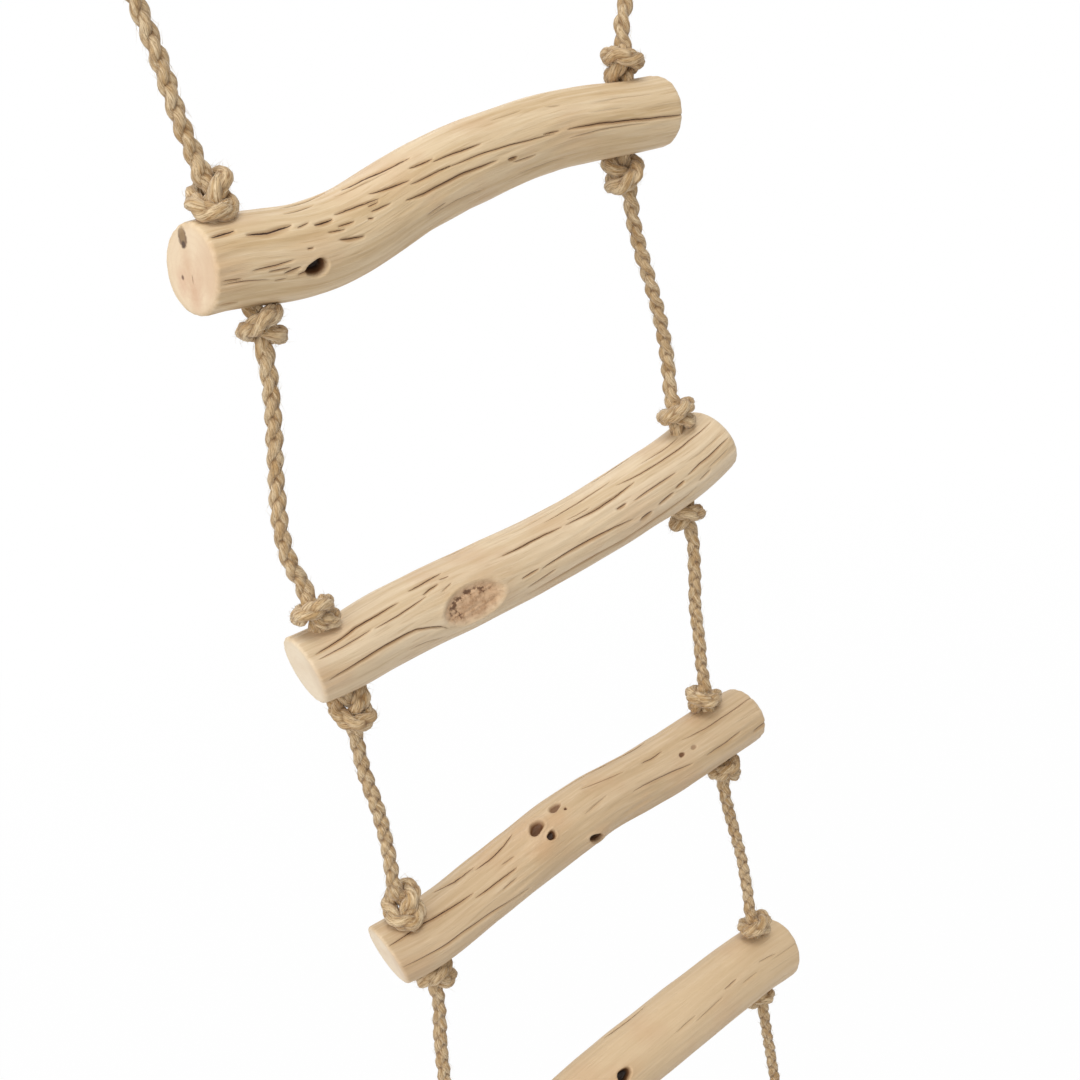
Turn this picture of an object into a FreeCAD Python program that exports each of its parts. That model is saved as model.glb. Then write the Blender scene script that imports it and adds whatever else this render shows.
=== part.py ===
import FreeCAD, Part
import math
import os
from collections import namedtuple

# A hanging bird ladder: four crooked branches on two jute ropes. Each rope goes down
# through a hole near the end of every branch, with an overhand knot above and below.
# +X runs along the branches, +Y away from the front, +Z up, all in millimetres.
# The origin lies midway between the two eyes, level with where a hook bears.

Vector = FreeCAD.Vector

# Layout
ROPE_SPACING = 152.0        # between the two rope lines, at the branches
EYE_SPACING = 166.0         # between the two eyes, where the ropes spread a little
HOOK_TO_TOP_RUNG = 120.0    # from the inside of an eye down to the top branch
RUNG_SPACING = 120.0        # from one branch to the next

# Rope
ROPE_DIAMETER = 4.6
BORE_CLEARANCE = 0.8        # on the radius, between the rope and its hole
SEAT_CLEARANCE = 0.2        # between a knot and the branch that it carries
TAIL_BELOW_BOTTOM_RUNG = 100.0
END_KNOT_BELOW_BOTTOM_RUNG = 86.0

# Branch diameters at their nominal girth
TOP_RUNG_DIAMETER = 26.0
SECOND_RUNG_DIAMETER = 24.6
THIRD_RUNG_DIAMETER = 23.6
BOTTOM_RUNG_DIAMETER = 26.8
SANDED_EDGE_RADIUS = 1.6    # round the sawn ends

# The control points of half an overhand knot, in rope diameters: from the rope's axis
# above the knot to the middle of the knot. Half a turn about the knot's Y axis gives the
# other half. Neighbouring strands of the knot lie just over one diameter apart.
KNOT_HALF = [
    (0.0, 0.0, 2.3),
    (0.1, -0.05, 1.25),
    (0.5, -0.35, 0.25),
    (0.6, -1.1, -0.55),
    (-0.45, -1.4, -0.95),
    (-1.4, -0.75, -0.95),
    (-1.4, 0.3, -0.55),
    (-0.6, 0.8, -0.15),
]
KNOT_HALF_HEIGHT = 1.37     # from a knot's middle to where it rests, in rope diameters
KNOT_TAIL = 2.3             # from a knot's middle to where the rope is on its axis again
IN_BORE = 4.2               # how far inside its hole the rope is on the hole's axis, in mm

# The control points of the eye at the top of a rope, in rope diameters: from the loose end,
# twice round the rope's own standing part as a hitch, up and round the eye, and down as the
# standing part.
EYE = [
    (-0.35, 3.0, 0.1), (-0.05, 1.6, -0.7), (0.65, 0.9, -1.9), (1.15, 0.3, -2.65),
    (0.85, -1.05, -2.85), (-0.4, -1.4, -2.85), (-1.15, -0.2, -2.7), (-0.8, 1.25, -2.5),
    (0.5, 2.35, -2.1), (1.6, 1.65, -1.3), (1.25, -0.1, -1.1), (0.4, -1.2, -0.6),
    (-0.95, -1.05, -0.35), (-1.25, 0.3, -0.05), (-0.55, 1.15, 0.45), (0.7, 0.75, 1.1),
    (1.5, 0.25, 2.0), (2.05, 0.05, 3.4), (1.95, 0.0, 4.8), (0.9, 0.0, 6.1),
    (-0.75, 0.0, 6.1), (-1.9, 0.0, 4.8), (-1.85, 0.0, 3.4), (-1.0, -0.1, 1.9),
    (-0.1, 0.0, 0.4), (0.0, 0.0, -1.0), (0.0, 0.0, -2.6), (0.0, 0.0, -4.4),
]
EYE_CROWN = 5.6             # the inside of the eye's top above the zero of these points

# The two ropes as they hang: for each branch, the free run above it and the turns of its
# two knots. A run is (share of the way down, x from the rope line, y) for each point where
# the rope bends a little; a turn is in degrees about Z, for the knot above and below.
LEFT_ROPE = [
    ([(0.12, -5.9, 0.4), (0.45, -4.0, -0.3), (0.75, -3.3, 0.2), (0.93, -2.4, 0.0)], (50, 62)),
    ([(0.06, 2.1, 0.0), (0.25, -0.4, -0.4), (0.5, -4.2, 0.3), (0.75, -7.6, 0.2),
      (0.94, -7.2, 0.0)], (40, 70)),
    ([(0.06, -2.0, 0.0), (0.25, -2.2, 0.5), (0.5, -1.3, -0.4), (0.75, -1.2, 0.3),
      (0.94, -2.2, 0.0)], (60, 48)),
    ([(0.06, 1.2, 0.0), (0.25, -1.4, 0.4), (0.5, -4.3, -0.3), (0.75, -5.4, 0.3),
      (0.94, -4.4, 0.0)], (48, 66)),
]
RIGHT_ROPE = [
    ([(0.12, 8.8, -0.3), (0.45, 10.2, 0.4), (0.75, 9.4, -0.2), (0.93, 5.2, 0.0)], (230, 225)),
    ([(0.06, -4.6, 0.0), (0.25, -2.6, 0.4), (0.5, -0.2, -0.4), (0.75, 2.2, 0.3),
      (0.94, 1.6, 0.0)], (55, 240)),
    ([(0.06, 0.8, 0.0), (0.25, -1.3, -0.5), (0.5, -3.1, 0.3), (0.75, -3.6, -0.3),
      (0.94, -4.6, 0.0)], (215, 60)),
    ([(0.06, -2.2, 0.0), (0.25, -0.6, 0.4), (0.5, 0.9, -0.3), (0.75, 2.3, 0.4),
      (0.94, 2.0, 0.0)], (65, 235)),
]
HANDS = (1, -1, 1, -1)      # the hand of the knot above each branch; the one below mirrors it
END_SLACK = [(0.08, 0.9, 0.0), (0.5, 1.6, 0.4), (0.9, 1.5, 0.0)]
END_SIDEWAYS = 1.4
END_SPIN = 50

# The arc at each point of a rope's route takes up this share of its shorter run.
ARC_SHARE = 0.45
LEAST_HALF_TURN = 0.0005    # in radians; below it the rope goes straight on

# A branch: its height offset, its bores as (x at the top, x at the bottom) from the rope
# line, what stands out past the rope lines, the slant of its left sawn face, and its
# stations along the branch. The slant is in degrees: how far the face's front, and then
# its top, leans out. A station is (share of the way from the left rope line to the right
# one, y, z, girth); the first and the last give the sawn ends, where the share is replaced
# by the overhang.
Rung = namedtuple("Rung", "name diameter offset left_bore right_bore "
                          "left_overhang right_overhang left_slant stations lobes")

RUNGS = [
    Rung("top_rung", TOP_RUNG_DIAMETER, 0.0, (-1.5, 2.7), (3.2, -3.9), 11.6, 14.8, (-3, -4),
         [(None, 0.0, 0.1, 0.96), (0.01, 0.0, -1.5, 0.99), (0.12, -0.5, -4.6, 1.01),
          (0.23, -1.0, -4.8, 1.0), (0.35, -1.0, -1.5, 0.98), (0.48, -0.5, 1.4, 0.97),
          (0.64, 0.5, 2.6, 0.94), (0.81, 1.0, 2.0, 0.91), (0.985, 0.0, -1.3, 0.9),
          (None, -0.5, -3.2, 0.89)],
         (0.020, 0.6, 0.012, 1.1)),
    Rung("second_rung", SECOND_RUNG_DIAMETER, -2.6, (-5.0, -1.8), (0.7, 1.0), 12.5, 18.4, (5, 13),
         [(None, 0.0, -0.9, 0.9), (0.0, 0.0, -2.0, 0.92), (0.1, 0.6, -2.2, 0.95),
          (0.23, 1.2, -3.2, 0.97), (0.37, 1.4, -5.0, 0.98), (0.53, 1.2, -6.2, 0.98),
          (0.7, 0.6, -6.2, 0.99), (0.87, 0.0, -4.8, 1.02), (1.02, 0.0, -3.0, 1.03),
          (None, 0.0, 0.7, 1.0)],
         (0.018, 1.9, 0.014, 0.4)),
    Rung("third_rung", THIRD_RUNG_DIAMETER, 1.7, (-3.0, 1.8), (-4.2, -2.4), 12.4, 14.8, (8, 20),
         [(None, 0.0, 3.9, 0.94), (0.01, 0.0, 1.8, 0.98), (0.11, 0.0, 1.9, 0.97),
          (0.22, 0.0, 2.9, 0.98), (0.34, 0.0, 4.0, 1.0), (0.45, 0.0, 4.8, 1.01),
          (0.55, 0.0, 4.8, 0.97), (0.68, 0.0, 2.3, 0.96), (0.83, 0.0, 0.0, 0.99),
          (0.98, 0.0, -1.2, 1.0), (None, 0.0, -2.4, 0.98)],
         (0.022, 0.2, 0.016, 2.0)),
    Rung("bottom_rung", BOTTOM_RUNG_DIAMETER, 0.1, (-3.2, -1.4), (1.6, 0.9), 13.0, 15.5, (4, 3),
         [(None, 0.0, 2.6, 0.96), (0.0, 0.0, 3.0, 0.98), (0.2, 0.4, 4.8, 0.99),
          (0.4, 0.6, 5.4, 1.0), (0.58, 0.4, 4.7, 1.0), (0.75, 0.0, 4.0, 1.0),
          (0.88, 0.0, 2.9, 0.99), (1.0, 0.0, 1.2, 0.99), (None, 0.0, -1.6, 0.97)],
         (0.016, 1.3, 0.010, 0.2)),
]
SECTION_POINTS = 16

# Knot holes: (branch, x from the middle, angle round the branch, length along it, width
# across it, depth). The angle is in degrees from the front, upwards.
KNOT_HOLES = [
    (0, -57.0, -14.0, 6.0, 4.6, 6.0),
    (2, -21.0, 71.0, 6.6, 4.4, 3.0),
    (2, -19.0, 44.0, 3.4, 2.6, 3.0),
    (2, -2.5, -14.0, 7.0, 3.4, 4.0),
    (3, -11.0, 38.0, 6.0, 4.4, 5.0),
]
HOLE_ABOVE = 6.0            # how far a hole's cutter stands out of the branch

# The scar of a sawn-off side branch: (branch, x, angle, length along, width across). The
# wood has swollen to a collar round it, and its heart lies lower.
SCAR = (1, -31.0, 4.0, 23.0, 11.5)
COLLAR_LENGTH = 52.0
COLLAR_RISE = 1.3           # how far the collar stands out of the branch in front
COLLAR_SPREAD = 0.4         # how far it stands out at its two sides
HEART_DEPTH = 0.6           # below the branch's own surface


def rung_height(index):
    """The height of a branch's own zero line."""
    return -HOOK_TO_TOP_RUNG - index * RUNG_SPACING + RUNGS[index].offset


def station_points(index):
    """The centre and radius of a branch at each of its stations."""
    rung = RUNGS[index]
    found = []
    last = len(rung.stations) - 1
    for number, (share, y, z, girth) in enumerate(rung.stations):
        if number == 0:
            x = -ROPE_SPACING / 2 - rung.left_overhang
        elif number == last:
            x = ROPE_SPACING / 2 + rung.right_overhang
        else:
            x = (share - 0.5) * ROPE_SPACING
        centre = Vector(x, y, rung_height(index) + z)
        found.append((centre, girth * rung.diameter / 2))
    return found


def smooth_line(points):
    """A smooth curve through some points."""
    curve = Part.BSplineCurve()
    curve.interpolate(points)
    return curve


def section(centre, along, radius, lobes):
    """One closed section of a branch, square to it and a little out of round. It starts at
    the back, where the surface then has its seam."""
    side = along.cross(Vector(0, 0, 1)).normalize()
    up = side.cross(along).normalize()
    oval, oval_turn, lobe, lobe_turn = lobes
    points = []
    for step in range(SECTION_POINTS):
        angle = math.pi + 2 * math.pi * step / SECTION_POINTS
        reach = radius * (1 + oval * math.cos(2 * (angle - oval_turn))
                          + lobe * math.cos(3 * (angle - lobe_turn)))
        points.append(centre + side * (reach * math.cos(angle)) + up * (reach * math.sin(angle)))
    curve = Part.BSplineCurve()
    curve.interpolate(points, PeriodicFlag=True)
    return Part.Wire(curve.toShape())


def branch(index):
    """A crooked branch, lofted through its stations, with its sawn edges sanded round."""
    stations = station_points(index)
    line = smooth_line([centre for centre, _ in stations])
    wires = []
    for number, (centre, radius) in enumerate(stations):
        along = line.tangent(line.parameter(centre))[0]
        if number == 0:
            front, top = RUNGS[index].left_slant
            along += Vector(0, -math.tan(math.radians(front)), math.tan(math.radians(top)))
        wires.append(section(centre, along.normalize(), radius, RUNGS[index].lobes))
    solid = Part.makeLoft(wires, True, False)
    ends = [edge for edge in solid.Edges if edge.isClosed() and len(edge.Vertexes) == 1]
    return solid.makeFillet(SANDED_EDGE_RADIUS, ends)


def level_at(index, x):
    """The centre height and the radius of a branch at a place along it."""
    stations = station_points(index)
    heights = smooth_line([Vector(c.x, c.z, 0) for c, _ in stations])
    radii = smooth_line([Vector(c.x, r, 0) for c, r in stations])
    found = []
    for curve in (heights, radii):
        low, high = curve.FirstParameter, curve.LastParameter
        for _ in range(40):
            middle = (low + high) / 2
            if curve.value(middle).x < x:
                low = middle
            else:
                high = middle
        found.append(curve.value(low).y)
    return found


def surface_frame(index, x, angle):
    """A place on a branch: the point on its surface, the way out, and the way along."""
    height, radius = level_at(index, x)
    points = [centre for centre, _ in station_points(index)]
    line = smooth_line(points)
    near = Vector(x, 0, height)
    along = line.tangent(line.parameter(near))[0]
    middle = line.value(line.parameter(near))
    side = along.cross(Vector(0, 0, 1)).normalize()
    up = side.cross(along).normalize()
    turn = math.radians(angle)
    outward = side * math.cos(turn) + up * math.sin(turn)
    return middle + outward * radius, outward, along


def oval_post(place, outward, along, length, width, low, high):
    """An upright post of oval section, from low to high measured from a place outwards."""
    long_way = max(length, width) / 2
    short_way = min(length, width) / 2
    across = outward.cross(along)
    major = along if length >= width else across
    base = place + outward * low
    oval = Part.Ellipse(base + major * long_way, base + outward.cross(major) * short_way, base)
    face = Part.Face(Part.Wire(oval.toShape()))
    return face.extrude(outward * (high - low))


def with_knot_holes(index, solid):
    """The branch with its knot holes cut in."""
    for where, x, angle, length, width, depth in KNOT_HOLES:
        if where == index:
            place = surface_frame(index, x, angle)
            solid = solid.cut(oval_post(*place, length, width, -depth, HOLE_ABOVE))
    return solid


def with_scar(index, solid):
    """The branch with the swollen collar and the sunken heart of a sawn-off side branch.
    The collar is an ellipsoid round the branch's own line."""
    where, x, angle, length, width = SCAR
    if where != index:
        return solid
    place, outward, along = surface_frame(index, x, angle)
    radius = level_at(index, x)[1]
    middle = place - outward * radius
    across = outward.cross(along)
    reach = (along * (COLLAR_LENGTH / 2), across * (radius + COLLAR_SPREAD),
             outward * (radius + COLLAR_RISE))
    stretch = FreeCAD.Matrix()
    stretch.setCol(0, reach[0])
    stretch.setCol(1, reach[1])
    stretch.setCol(2, reach[2])
    stretch.setCol(3, middle)
    collar = Part.makeSphere(1.0).transformGeometry(stretch)
    heart = oval_post(place, outward, along, length, width, -HEART_DEPTH, HOLE_ABOVE)
    return solid.fuse(collar).cut(heart)


def bore_ends(index, side):
    """Where a rope enters a branch at its top and leaves it underneath."""
    rung = RUNGS[index]
    top_x, bottom_x = rung.left_bore if side < 0 else rung.right_bore
    found = []
    for direction, offset in ((1, top_x), (-1, bottom_x)):
        x = side * ROPE_SPACING / 2 + offset
        height, radius = level_at(index, x)
        found.append(Vector(x, 0, height + direction * radius))
    return found


def bore(index, side):
    """The drilled hole for one rope, longer than the branch is thick."""
    top, bottom = bore_ends(index, side)
    along = (top - bottom).normalize()
    reach = RUNGS[index].diameter
    length = (top - bottom).Length + 2 * reach
    return Part.makeCylinder(ROPE_DIAMETER / 2 + BORE_CLEARANCE, length,
                             bottom - along * reach, along)


def make_rung(index):
    """A branch with its knot holes or scar and the two holes for the ropes."""
    solid = with_scar(index, with_knot_holes(index, branch(index)))
    for side in (-1, 1):
        solid = solid.cut(bore(index, side))
    return solid


def overhand_knot(centre, spin, hand):
    """The route through one knot, from above it to below it, turned about Z by spin
    degrees. A hand of -1 gives the mirrored knot."""
    upper = [Vector(hand * x, y, z) for x, y, z in KNOT_HALF]
    lower = [Vector(-p.x, p.y, -p.z) for p in reversed(upper)]
    turn = FreeCAD.Rotation(Vector(0, 0, 1), spin)
    return [centre + turn.multVec(p) * ROPE_DIAMETER for p in upper + lower]


def arc_at(before, corner, after):
    """The arc that rounds one corner of a route: where it starts and ends, its centre,
    axis, radius and half its turn. None where the route goes straight on."""
    first, second = corner - before, after - corner
    half_turn = first.getAngle(second) / 2
    if half_turn < LEAST_HALF_TURN:
        return None
    trim = ARC_SHARE * min(first.Length, second.Length)
    first.normalize()
    second.normalize()
    start = corner - first * trim
    end = corner + second * trim
    axis = first.cross(second).normalize()
    radius = trim / math.tan(half_turn)
    return start, end, start + axis.cross(first) * radius, axis, radius, half_turn


def centre_line(route):
    """A chain of short straight pieces along a route with its corners rounded."""
    points = [route[0]]
    for corner in zip(route, route[1:], route[2:]):
        arc = arc_at(*corner)
        if arc:
            start, end, middle, _, radius, _ = arc
            outward = (corner[1] - middle).normalize()
            points += [start, middle + outward * radius, end]
    return Part.makePolygon(points + [route[-1]])


def seated_knot(solid, surface, direction, spin, hand):
    """The route of a knot that rests on a branch, without its end inside the hole.
    The direction is 1 for the knot on top and -1 for the one underneath."""
    part = slice(None, -1) if direction > 0 else slice(1, None)
    centre = surface + Vector(0, 0, direction * KNOT_HALF_HEIGHT * ROPE_DIAMETER)
    for _ in range(4):
        points = overhand_knot(centre, spin, hand)[part]
        gap = centre_line(points).distToShape(solid)[0] - ROPE_DIAMETER / 2
        centre = centre - Vector(0, 0, direction * (gap - SEAT_CLEARANCE))
    return centre, overhand_knot(centre, spin, hand)[part]


def rope_route(side, solids):
    """The control points of one rope, from its end at the eye to its tail."""
    rope = LEFT_ROPE if side < 0 else RIGHT_ROPE
    line_x = side * ROPE_SPACING / 2
    crown = Vector(side * EYE_SPACING / 2, 0, 0)
    route = [crown + Vector(side * x, y, z - EYE_CROWN) * ROPE_DIAMETER for x, y, z in EYE]
    for index, ((slack, spins), hand) in enumerate(zip(rope, HANDS)):
        top, bottom = bore_ends(index, side)
        inward = (bottom - top).normalize() * IN_BORE
        above, upper_knot = seated_knot(solids[index], top, 1, spins[0], hand)
        _, lower_knot = seated_knot(solids[index], bottom, -1, spins[1], -hand)
        route += slack_run(route[-1], above, line_x, slack) + upper_knot
        route += [top + inward, bottom - inward] + lower_knot
    end_z = rung_height(len(RUNGS) - 1) - END_KNOT_BELOW_BOTTOM_RUNG
    end = Vector(line_x + END_SIDEWAYS, 0, end_z)
    route += slack_run(route[-1], end, line_x, END_SLACK)
    route += overhand_knot(end, END_SPIN, HANDS[0])
    tail_z = rung_height(len(RUNGS) - 1) - TAIL_BELOW_BOTTOM_RUNG
    route.append(Vector(line_x + END_SIDEWAYS, 0, tail_z))
    return route


def slack_run(start, knot, line_x, slack):
    """The points of a free run from where the last knot lets go to the next knot."""
    end_z = knot.z + KNOT_TAIL * ROPE_DIAMETER
    return [Vector(line_x + x, y, start.z + share * (end_z - start.z)) for share, x, y in slack]


def tube_faces(route, radius):
    """The faces of a round tube along straight runs joined by tangent arcs, and the
    radius of each arc."""
    along = (route[1] - route[0]).normalize()
    ring = Part.Edge(Part.Circle(route[0], along, radius))
    faces = [Part.Face(Part.Wire(ring))]
    bends = []
    here = route[0]
    for corner in zip(route, route[1:], route[2:]):
        arc = arc_at(*corner)
        if arc is None:
            continue
        start, end, middle, axis, bend, half_turn = arc
        faces.append(ring.extrude(start - here))
        ring = ring.translated(start - here)
        faces.append(ring.revolve(middle, axis, math.degrees(2 * half_turn)))
        ring = ring.rotated(middle, axis, math.degrees(2 * half_turn))
        here = end
        bends.append(bend)
    faces.append(ring.extrude(route[-1] - here))
    faces.append(Part.Face(Part.Wire(ring.translated(route[-1] - here))))
    return faces, bends


def make_rope(side, solids):
    """One rope with all its knots, as a solid tube."""
    faces, bends = tube_faces(rope_route(side, solids), ROPE_DIAMETER / 2)
    print("tightest arcs", [round(bend, 1) for bend in sorted(bends)[:6]])
    skin = Part.Compound(faces)
    skin.sewShape()
    return Part.Solid(skin)


os.makedirs("parts", exist_ok=True)
shapes = {rung.name: make_rung(index) for index, rung in enumerate(RUNGS)}
rungs = list(shapes.values())
shapes["left_rope"] = make_rope(-1, rungs)
shapes["right_rope"] = make_rope(1, rungs)
for name, shape in shapes.items():
    print(name, "valid" if shape.isValid() else "NOT VALID", len(shape.Solids), "solid",
          round(shape.Volume), "mm3")
    shape.exportStep(f"parts/{name}.step")
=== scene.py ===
# %% [markdown]
# # A hanging bird ladder
# Four crooked branches hang one under another on two plaited jute ropes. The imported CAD
# model is the frame: it fixes every size and place. This lesson dresses it. The ropes
# become real plaits that follow their own knots, and the branches become surfaces with
# the grooves, knot holes and drying cracks of peeled wood.

# %% The frame
import math

import bpy
import numpy as np
from mathutils import Matrix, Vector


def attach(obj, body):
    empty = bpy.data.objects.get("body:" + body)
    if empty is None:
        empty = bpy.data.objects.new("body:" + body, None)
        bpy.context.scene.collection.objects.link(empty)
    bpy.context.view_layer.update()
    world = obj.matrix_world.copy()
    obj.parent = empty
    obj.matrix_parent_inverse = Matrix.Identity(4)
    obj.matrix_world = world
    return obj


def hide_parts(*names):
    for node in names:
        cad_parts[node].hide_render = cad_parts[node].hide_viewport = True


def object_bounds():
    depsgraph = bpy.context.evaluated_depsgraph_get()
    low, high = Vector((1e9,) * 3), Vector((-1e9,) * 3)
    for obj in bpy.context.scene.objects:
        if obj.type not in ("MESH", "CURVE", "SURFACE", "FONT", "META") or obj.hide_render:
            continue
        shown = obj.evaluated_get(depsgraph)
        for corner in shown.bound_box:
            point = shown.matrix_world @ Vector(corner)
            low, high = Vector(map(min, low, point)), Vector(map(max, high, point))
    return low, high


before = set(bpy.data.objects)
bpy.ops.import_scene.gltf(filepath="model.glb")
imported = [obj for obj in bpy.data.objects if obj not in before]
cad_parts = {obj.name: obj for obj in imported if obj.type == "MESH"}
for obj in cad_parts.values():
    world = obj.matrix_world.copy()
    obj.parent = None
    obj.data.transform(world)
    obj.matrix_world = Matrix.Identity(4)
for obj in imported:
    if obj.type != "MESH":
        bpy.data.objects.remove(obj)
cad_low, cad_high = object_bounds()
MM = 0.001
print("CAD box, mm:", [round(v / MM) for v in cad_low], [round(v / MM) for v in cad_high])


# %% [markdown]
# ## The camera
# The photograph looks down on the ladder from its front left, from less than half a
# metre away, so the lower branches run steeply up to the right. The camera's place and
# its three directions are written out. A camera that is only pointed at a target would
# stay upright, and the photograph's slight roll would be lost.

# %% The camera
CAMERA_PLACE = (-0.2624, -0.3552, -0.0318)
LOOKING_RIGHT = (0.7293, -0.6606, -0.1774)
LOOKING_UP = (0.4110, 0.2162, 0.8853)
LOOKING_ALONG = (0.5464, 0.7186, -0.4294)
LENS = 49.41

camera_data = bpy.data.cameras.new("camera")
camera_data.lens = LENS
camera_data.sensor_width = 36.0
camera_data.clip_start = 0.01
camera = bpy.data.objects.new("camera", camera_data)
bpy.context.scene.collection.objects.link(camera)
backwards = [-v for v in LOOKING_ALONG]
camera.matrix_world = Matrix([
    (LOOKING_RIGHT[row], LOOKING_UP[row], backwards[row], CAMERA_PLACE[row]) for row in range(3)
] + [(0, 0, 0, 1)])
bpy.context.scene.camera = camera
print("camera at", CAMERA_PLACE)


# %% [markdown]
# ## The ropes' route
# A rope is one line from the loose end of its eye, through the hitch, round the eye and
# down through every branch, with a true overhand knot above and below each one. A knot
# could be a lump with a rope picture on it, but only the real path shows the strands
# going over and under. So the points are the same as the CAD model's. A knot is half a
# knot, turned half round for its other half; a hand of -1 mirrors it. A NURBS spline of
# order 3 rounds the corners.

# %% The route's points
ROPE = 0.0046
ROPE_LINE = 0.076
EYE_LINE = 0.083

KNOT_HALF = np.array([
    (0.0, 0.0, 2.3), (0.1, -0.05, 1.25), (0.5, -0.35, 0.25), (0.6, -1.1, -0.55),
    (-0.45, -1.4, -0.95), (-1.4, -0.75, -0.95), (-1.4, 0.3, -0.55), (-0.6, 0.8, -0.15),
])
KNOT_TAIL = 2.3

EYE = np.array([
    (-0.35, 3.0, 0.1), (-0.05, 1.6, -0.7), (0.65, 0.9, -1.9), (1.15, 0.3, -2.65),
    (0.85, -1.05, -2.85), (-0.4, -1.4, -2.85), (-1.15, -0.2, -2.7), (-0.8, 1.25, -2.5),
    (0.5, 2.35, -2.1), (1.6, 1.65, -1.3), (1.25, -0.1, -1.1), (0.4, -1.2, -0.6),
    (-0.95, -1.05, -0.35), (-1.25, 0.3, -0.05), (-0.55, 1.15, 0.45), (0.7, 0.75, 1.1),
    (1.5, 0.25, 2.0), (2.05, 0.05, 3.4), (1.95, 0.0, 4.8), (0.9, 0.0, 6.1),
    (-0.75, 0.0, 6.1), (-1.9, 0.0, 4.8), (-1.85, 0.0, 3.4), (-1.0, -0.1, 1.9),
    (-0.1, 0.0, 0.4), (0.0, 0.0, -1.0), (0.0, 0.0, -2.6), (0.0, 0.0, -4.4),
])
EYE_CROWN = 5.6

# For each branch: the free run above it as (share of the way down, x from the rope line,
# y), then the knot above as (x, z, turn in degrees), the two points in the hole as (x, z),
# and the knot below. Places are in millimetres.
LEFT_WAY = [
    ([(0.12, -5.9, 0.4), (0.45, -4.0, -0.3), (0.75, -3.3, 0.2), (0.93, -2.4, 0.0)],
     (-77.5, -102.2, 50), (-76.8, -112.3), (-74.0, -130.5), (-73.3, -141.9, 62)),
    ([(0.06, 2.1, 0.0), (0.25, -0.4, -0.4), (0.5, -4.2, 0.3), (0.75, -7.6, 0.2),
      (0.94, -7.2, 0.0)],
     (-81.0, -226.4, 40), (-80.4, -237.3), (-78.4, -251.6), (-77.8, -263.2, 70)),
    ([(0.06, -2.0, 0.0), (0.25, -2.2, 0.5), (0.5, -1.3, -0.4), (0.75, -1.2, 0.3),
      (0.94, -2.2, 0.0)],
     (-79.0, -338.8, 60), (-78.2, -348.7), (-75.0, -364.0), (-74.2, -373.4, 48)),
    ([(0.06, 1.2, 0.0), (0.25, -1.4, 0.4), (0.5, -4.3, -0.3), (0.75, -5.4, 0.3),
      (0.94, -4.4, 0.0)],
     (-79.2, -456.5, 48), (-78.9, -468.1), (-77.7, -485.9), (-77.4, -496.9, 66)),
]
RIGHT_WAY = [
    ([(0.12, 8.8, -0.3), (0.45, 10.2, 0.4), (0.75, 9.4, -0.2), (0.93, 5.2, 0.0)],
     (79.2, -104.2, 230), (77.9, -114.3), (73.4, -128.8), (72.1, -138.6, 225)),
    ([(0.06, -4.6, 0.0), (0.25, -2.6, 0.4), (0.5, -0.2, -0.4), (0.75, 2.2, 0.3),
      (0.94, 1.6, 0.0)],
     (76.7, -225.4, 55), (76.7, -237.4), (77.0, -254.4), (77.0, -266.3, 240)),
    ([(0.06, 0.8, 0.0), (0.25, -1.3, -0.5), (0.5, -3.1, 0.3), (0.75, -3.6, -0.3),
      (0.94, -4.6, 0.0)],
     (71.8, -341.8, 215), (72.1, -351.8), (73.3, -367.1), (73.6, -378.5, 60)),
    ([(0.06, -2.2, 0.0), (0.25, -0.6, 0.4), (0.5, 0.9, -0.3), (0.75, 2.3, 0.4),
      (0.94, 2.0, 0.0)],
     (77.6, -459.5, 65), (77.5, -469.9), (77.0, -487.9), (76.9, -498.5, 235)),
]
HANDS = (1, -1, 1, -1)
END_SLACK = [(0.08, 0.9, 0.0), (0.5, 1.6, 0.4), (0.9, 1.5, 0.0)]
END_SIDEWAYS = 1.4
END_KNOT_HEIGHT = -565.9
END_HEIGHT = -579.9
END_TURN = 50
print(len(LEFT_WAY), "branches hang on each rope")


# %% Laying the route
def knot_points(x, z, turn, hand):
    """The points through a knot: the half knot, then the same half turned about its Y
    axis, the whole turned about Z and moved to (x, 0, z) in millimetres."""
    upper = KNOT_HALF * (hand, 1, 1)
    lower = upper[::-1] * (-1, 1, -1)
    angle = math.radians(turn)
    spin = np.array([(math.cos(angle), math.sin(angle), 0),
                     (-math.sin(angle), math.cos(angle), 0), (0, 0, 1)])
    return np.vstack([upper, lower]) @ spin * ROPE + np.array((x, 0, z)) * MM


def slack_points(start_z, knot_z, line_x, slack):
    """The points of a free run: each share of the way between the two heights, with its
    own small step aside."""
    end_z = knot_z * MM + KNOT_TAIL * ROPE
    return np.array([(line_x + x * MM, y * MM, start_z + share * (end_z - start_z))
                     for share, x, y in slack])


def route_points(side):
    """All points of one rope; side is -1 on the left and 1 on the right."""
    way = LEFT_WAY if side < 0 else RIGHT_WAY
    line_x = side * ROPE_LINE
    route = [(EYE * (side, 1, 1) - (0, 0, EYE_CROWN)) * ROPE + (side * EYE_LINE, 0, 0)]
    for (slack, above, bore_in, bore_out, below), hand in zip(way, HANDS):
        route.append(slack_points(route[-1][-1][2], above[1], line_x, slack))
        route.append(knot_points(*above, hand)[:-1])
        route.append(np.array([(x, 0, z) for x, z in (bore_in, bore_out)]) * MM)
        route.append(knot_points(*below, -hand)[1:])
    end_x = line_x + END_SIDEWAYS * MM
    route.append(slack_points(route[-1][-1][2], END_KNOT_HEIGHT, line_x, END_SLACK))
    route.append(knot_points(end_x / MM, END_KNOT_HEIGHT, END_TURN, HANDS[0]))
    route.append(np.array([(end_x, 0, END_HEIGHT * MM)]))
    return np.vstack(route)


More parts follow.
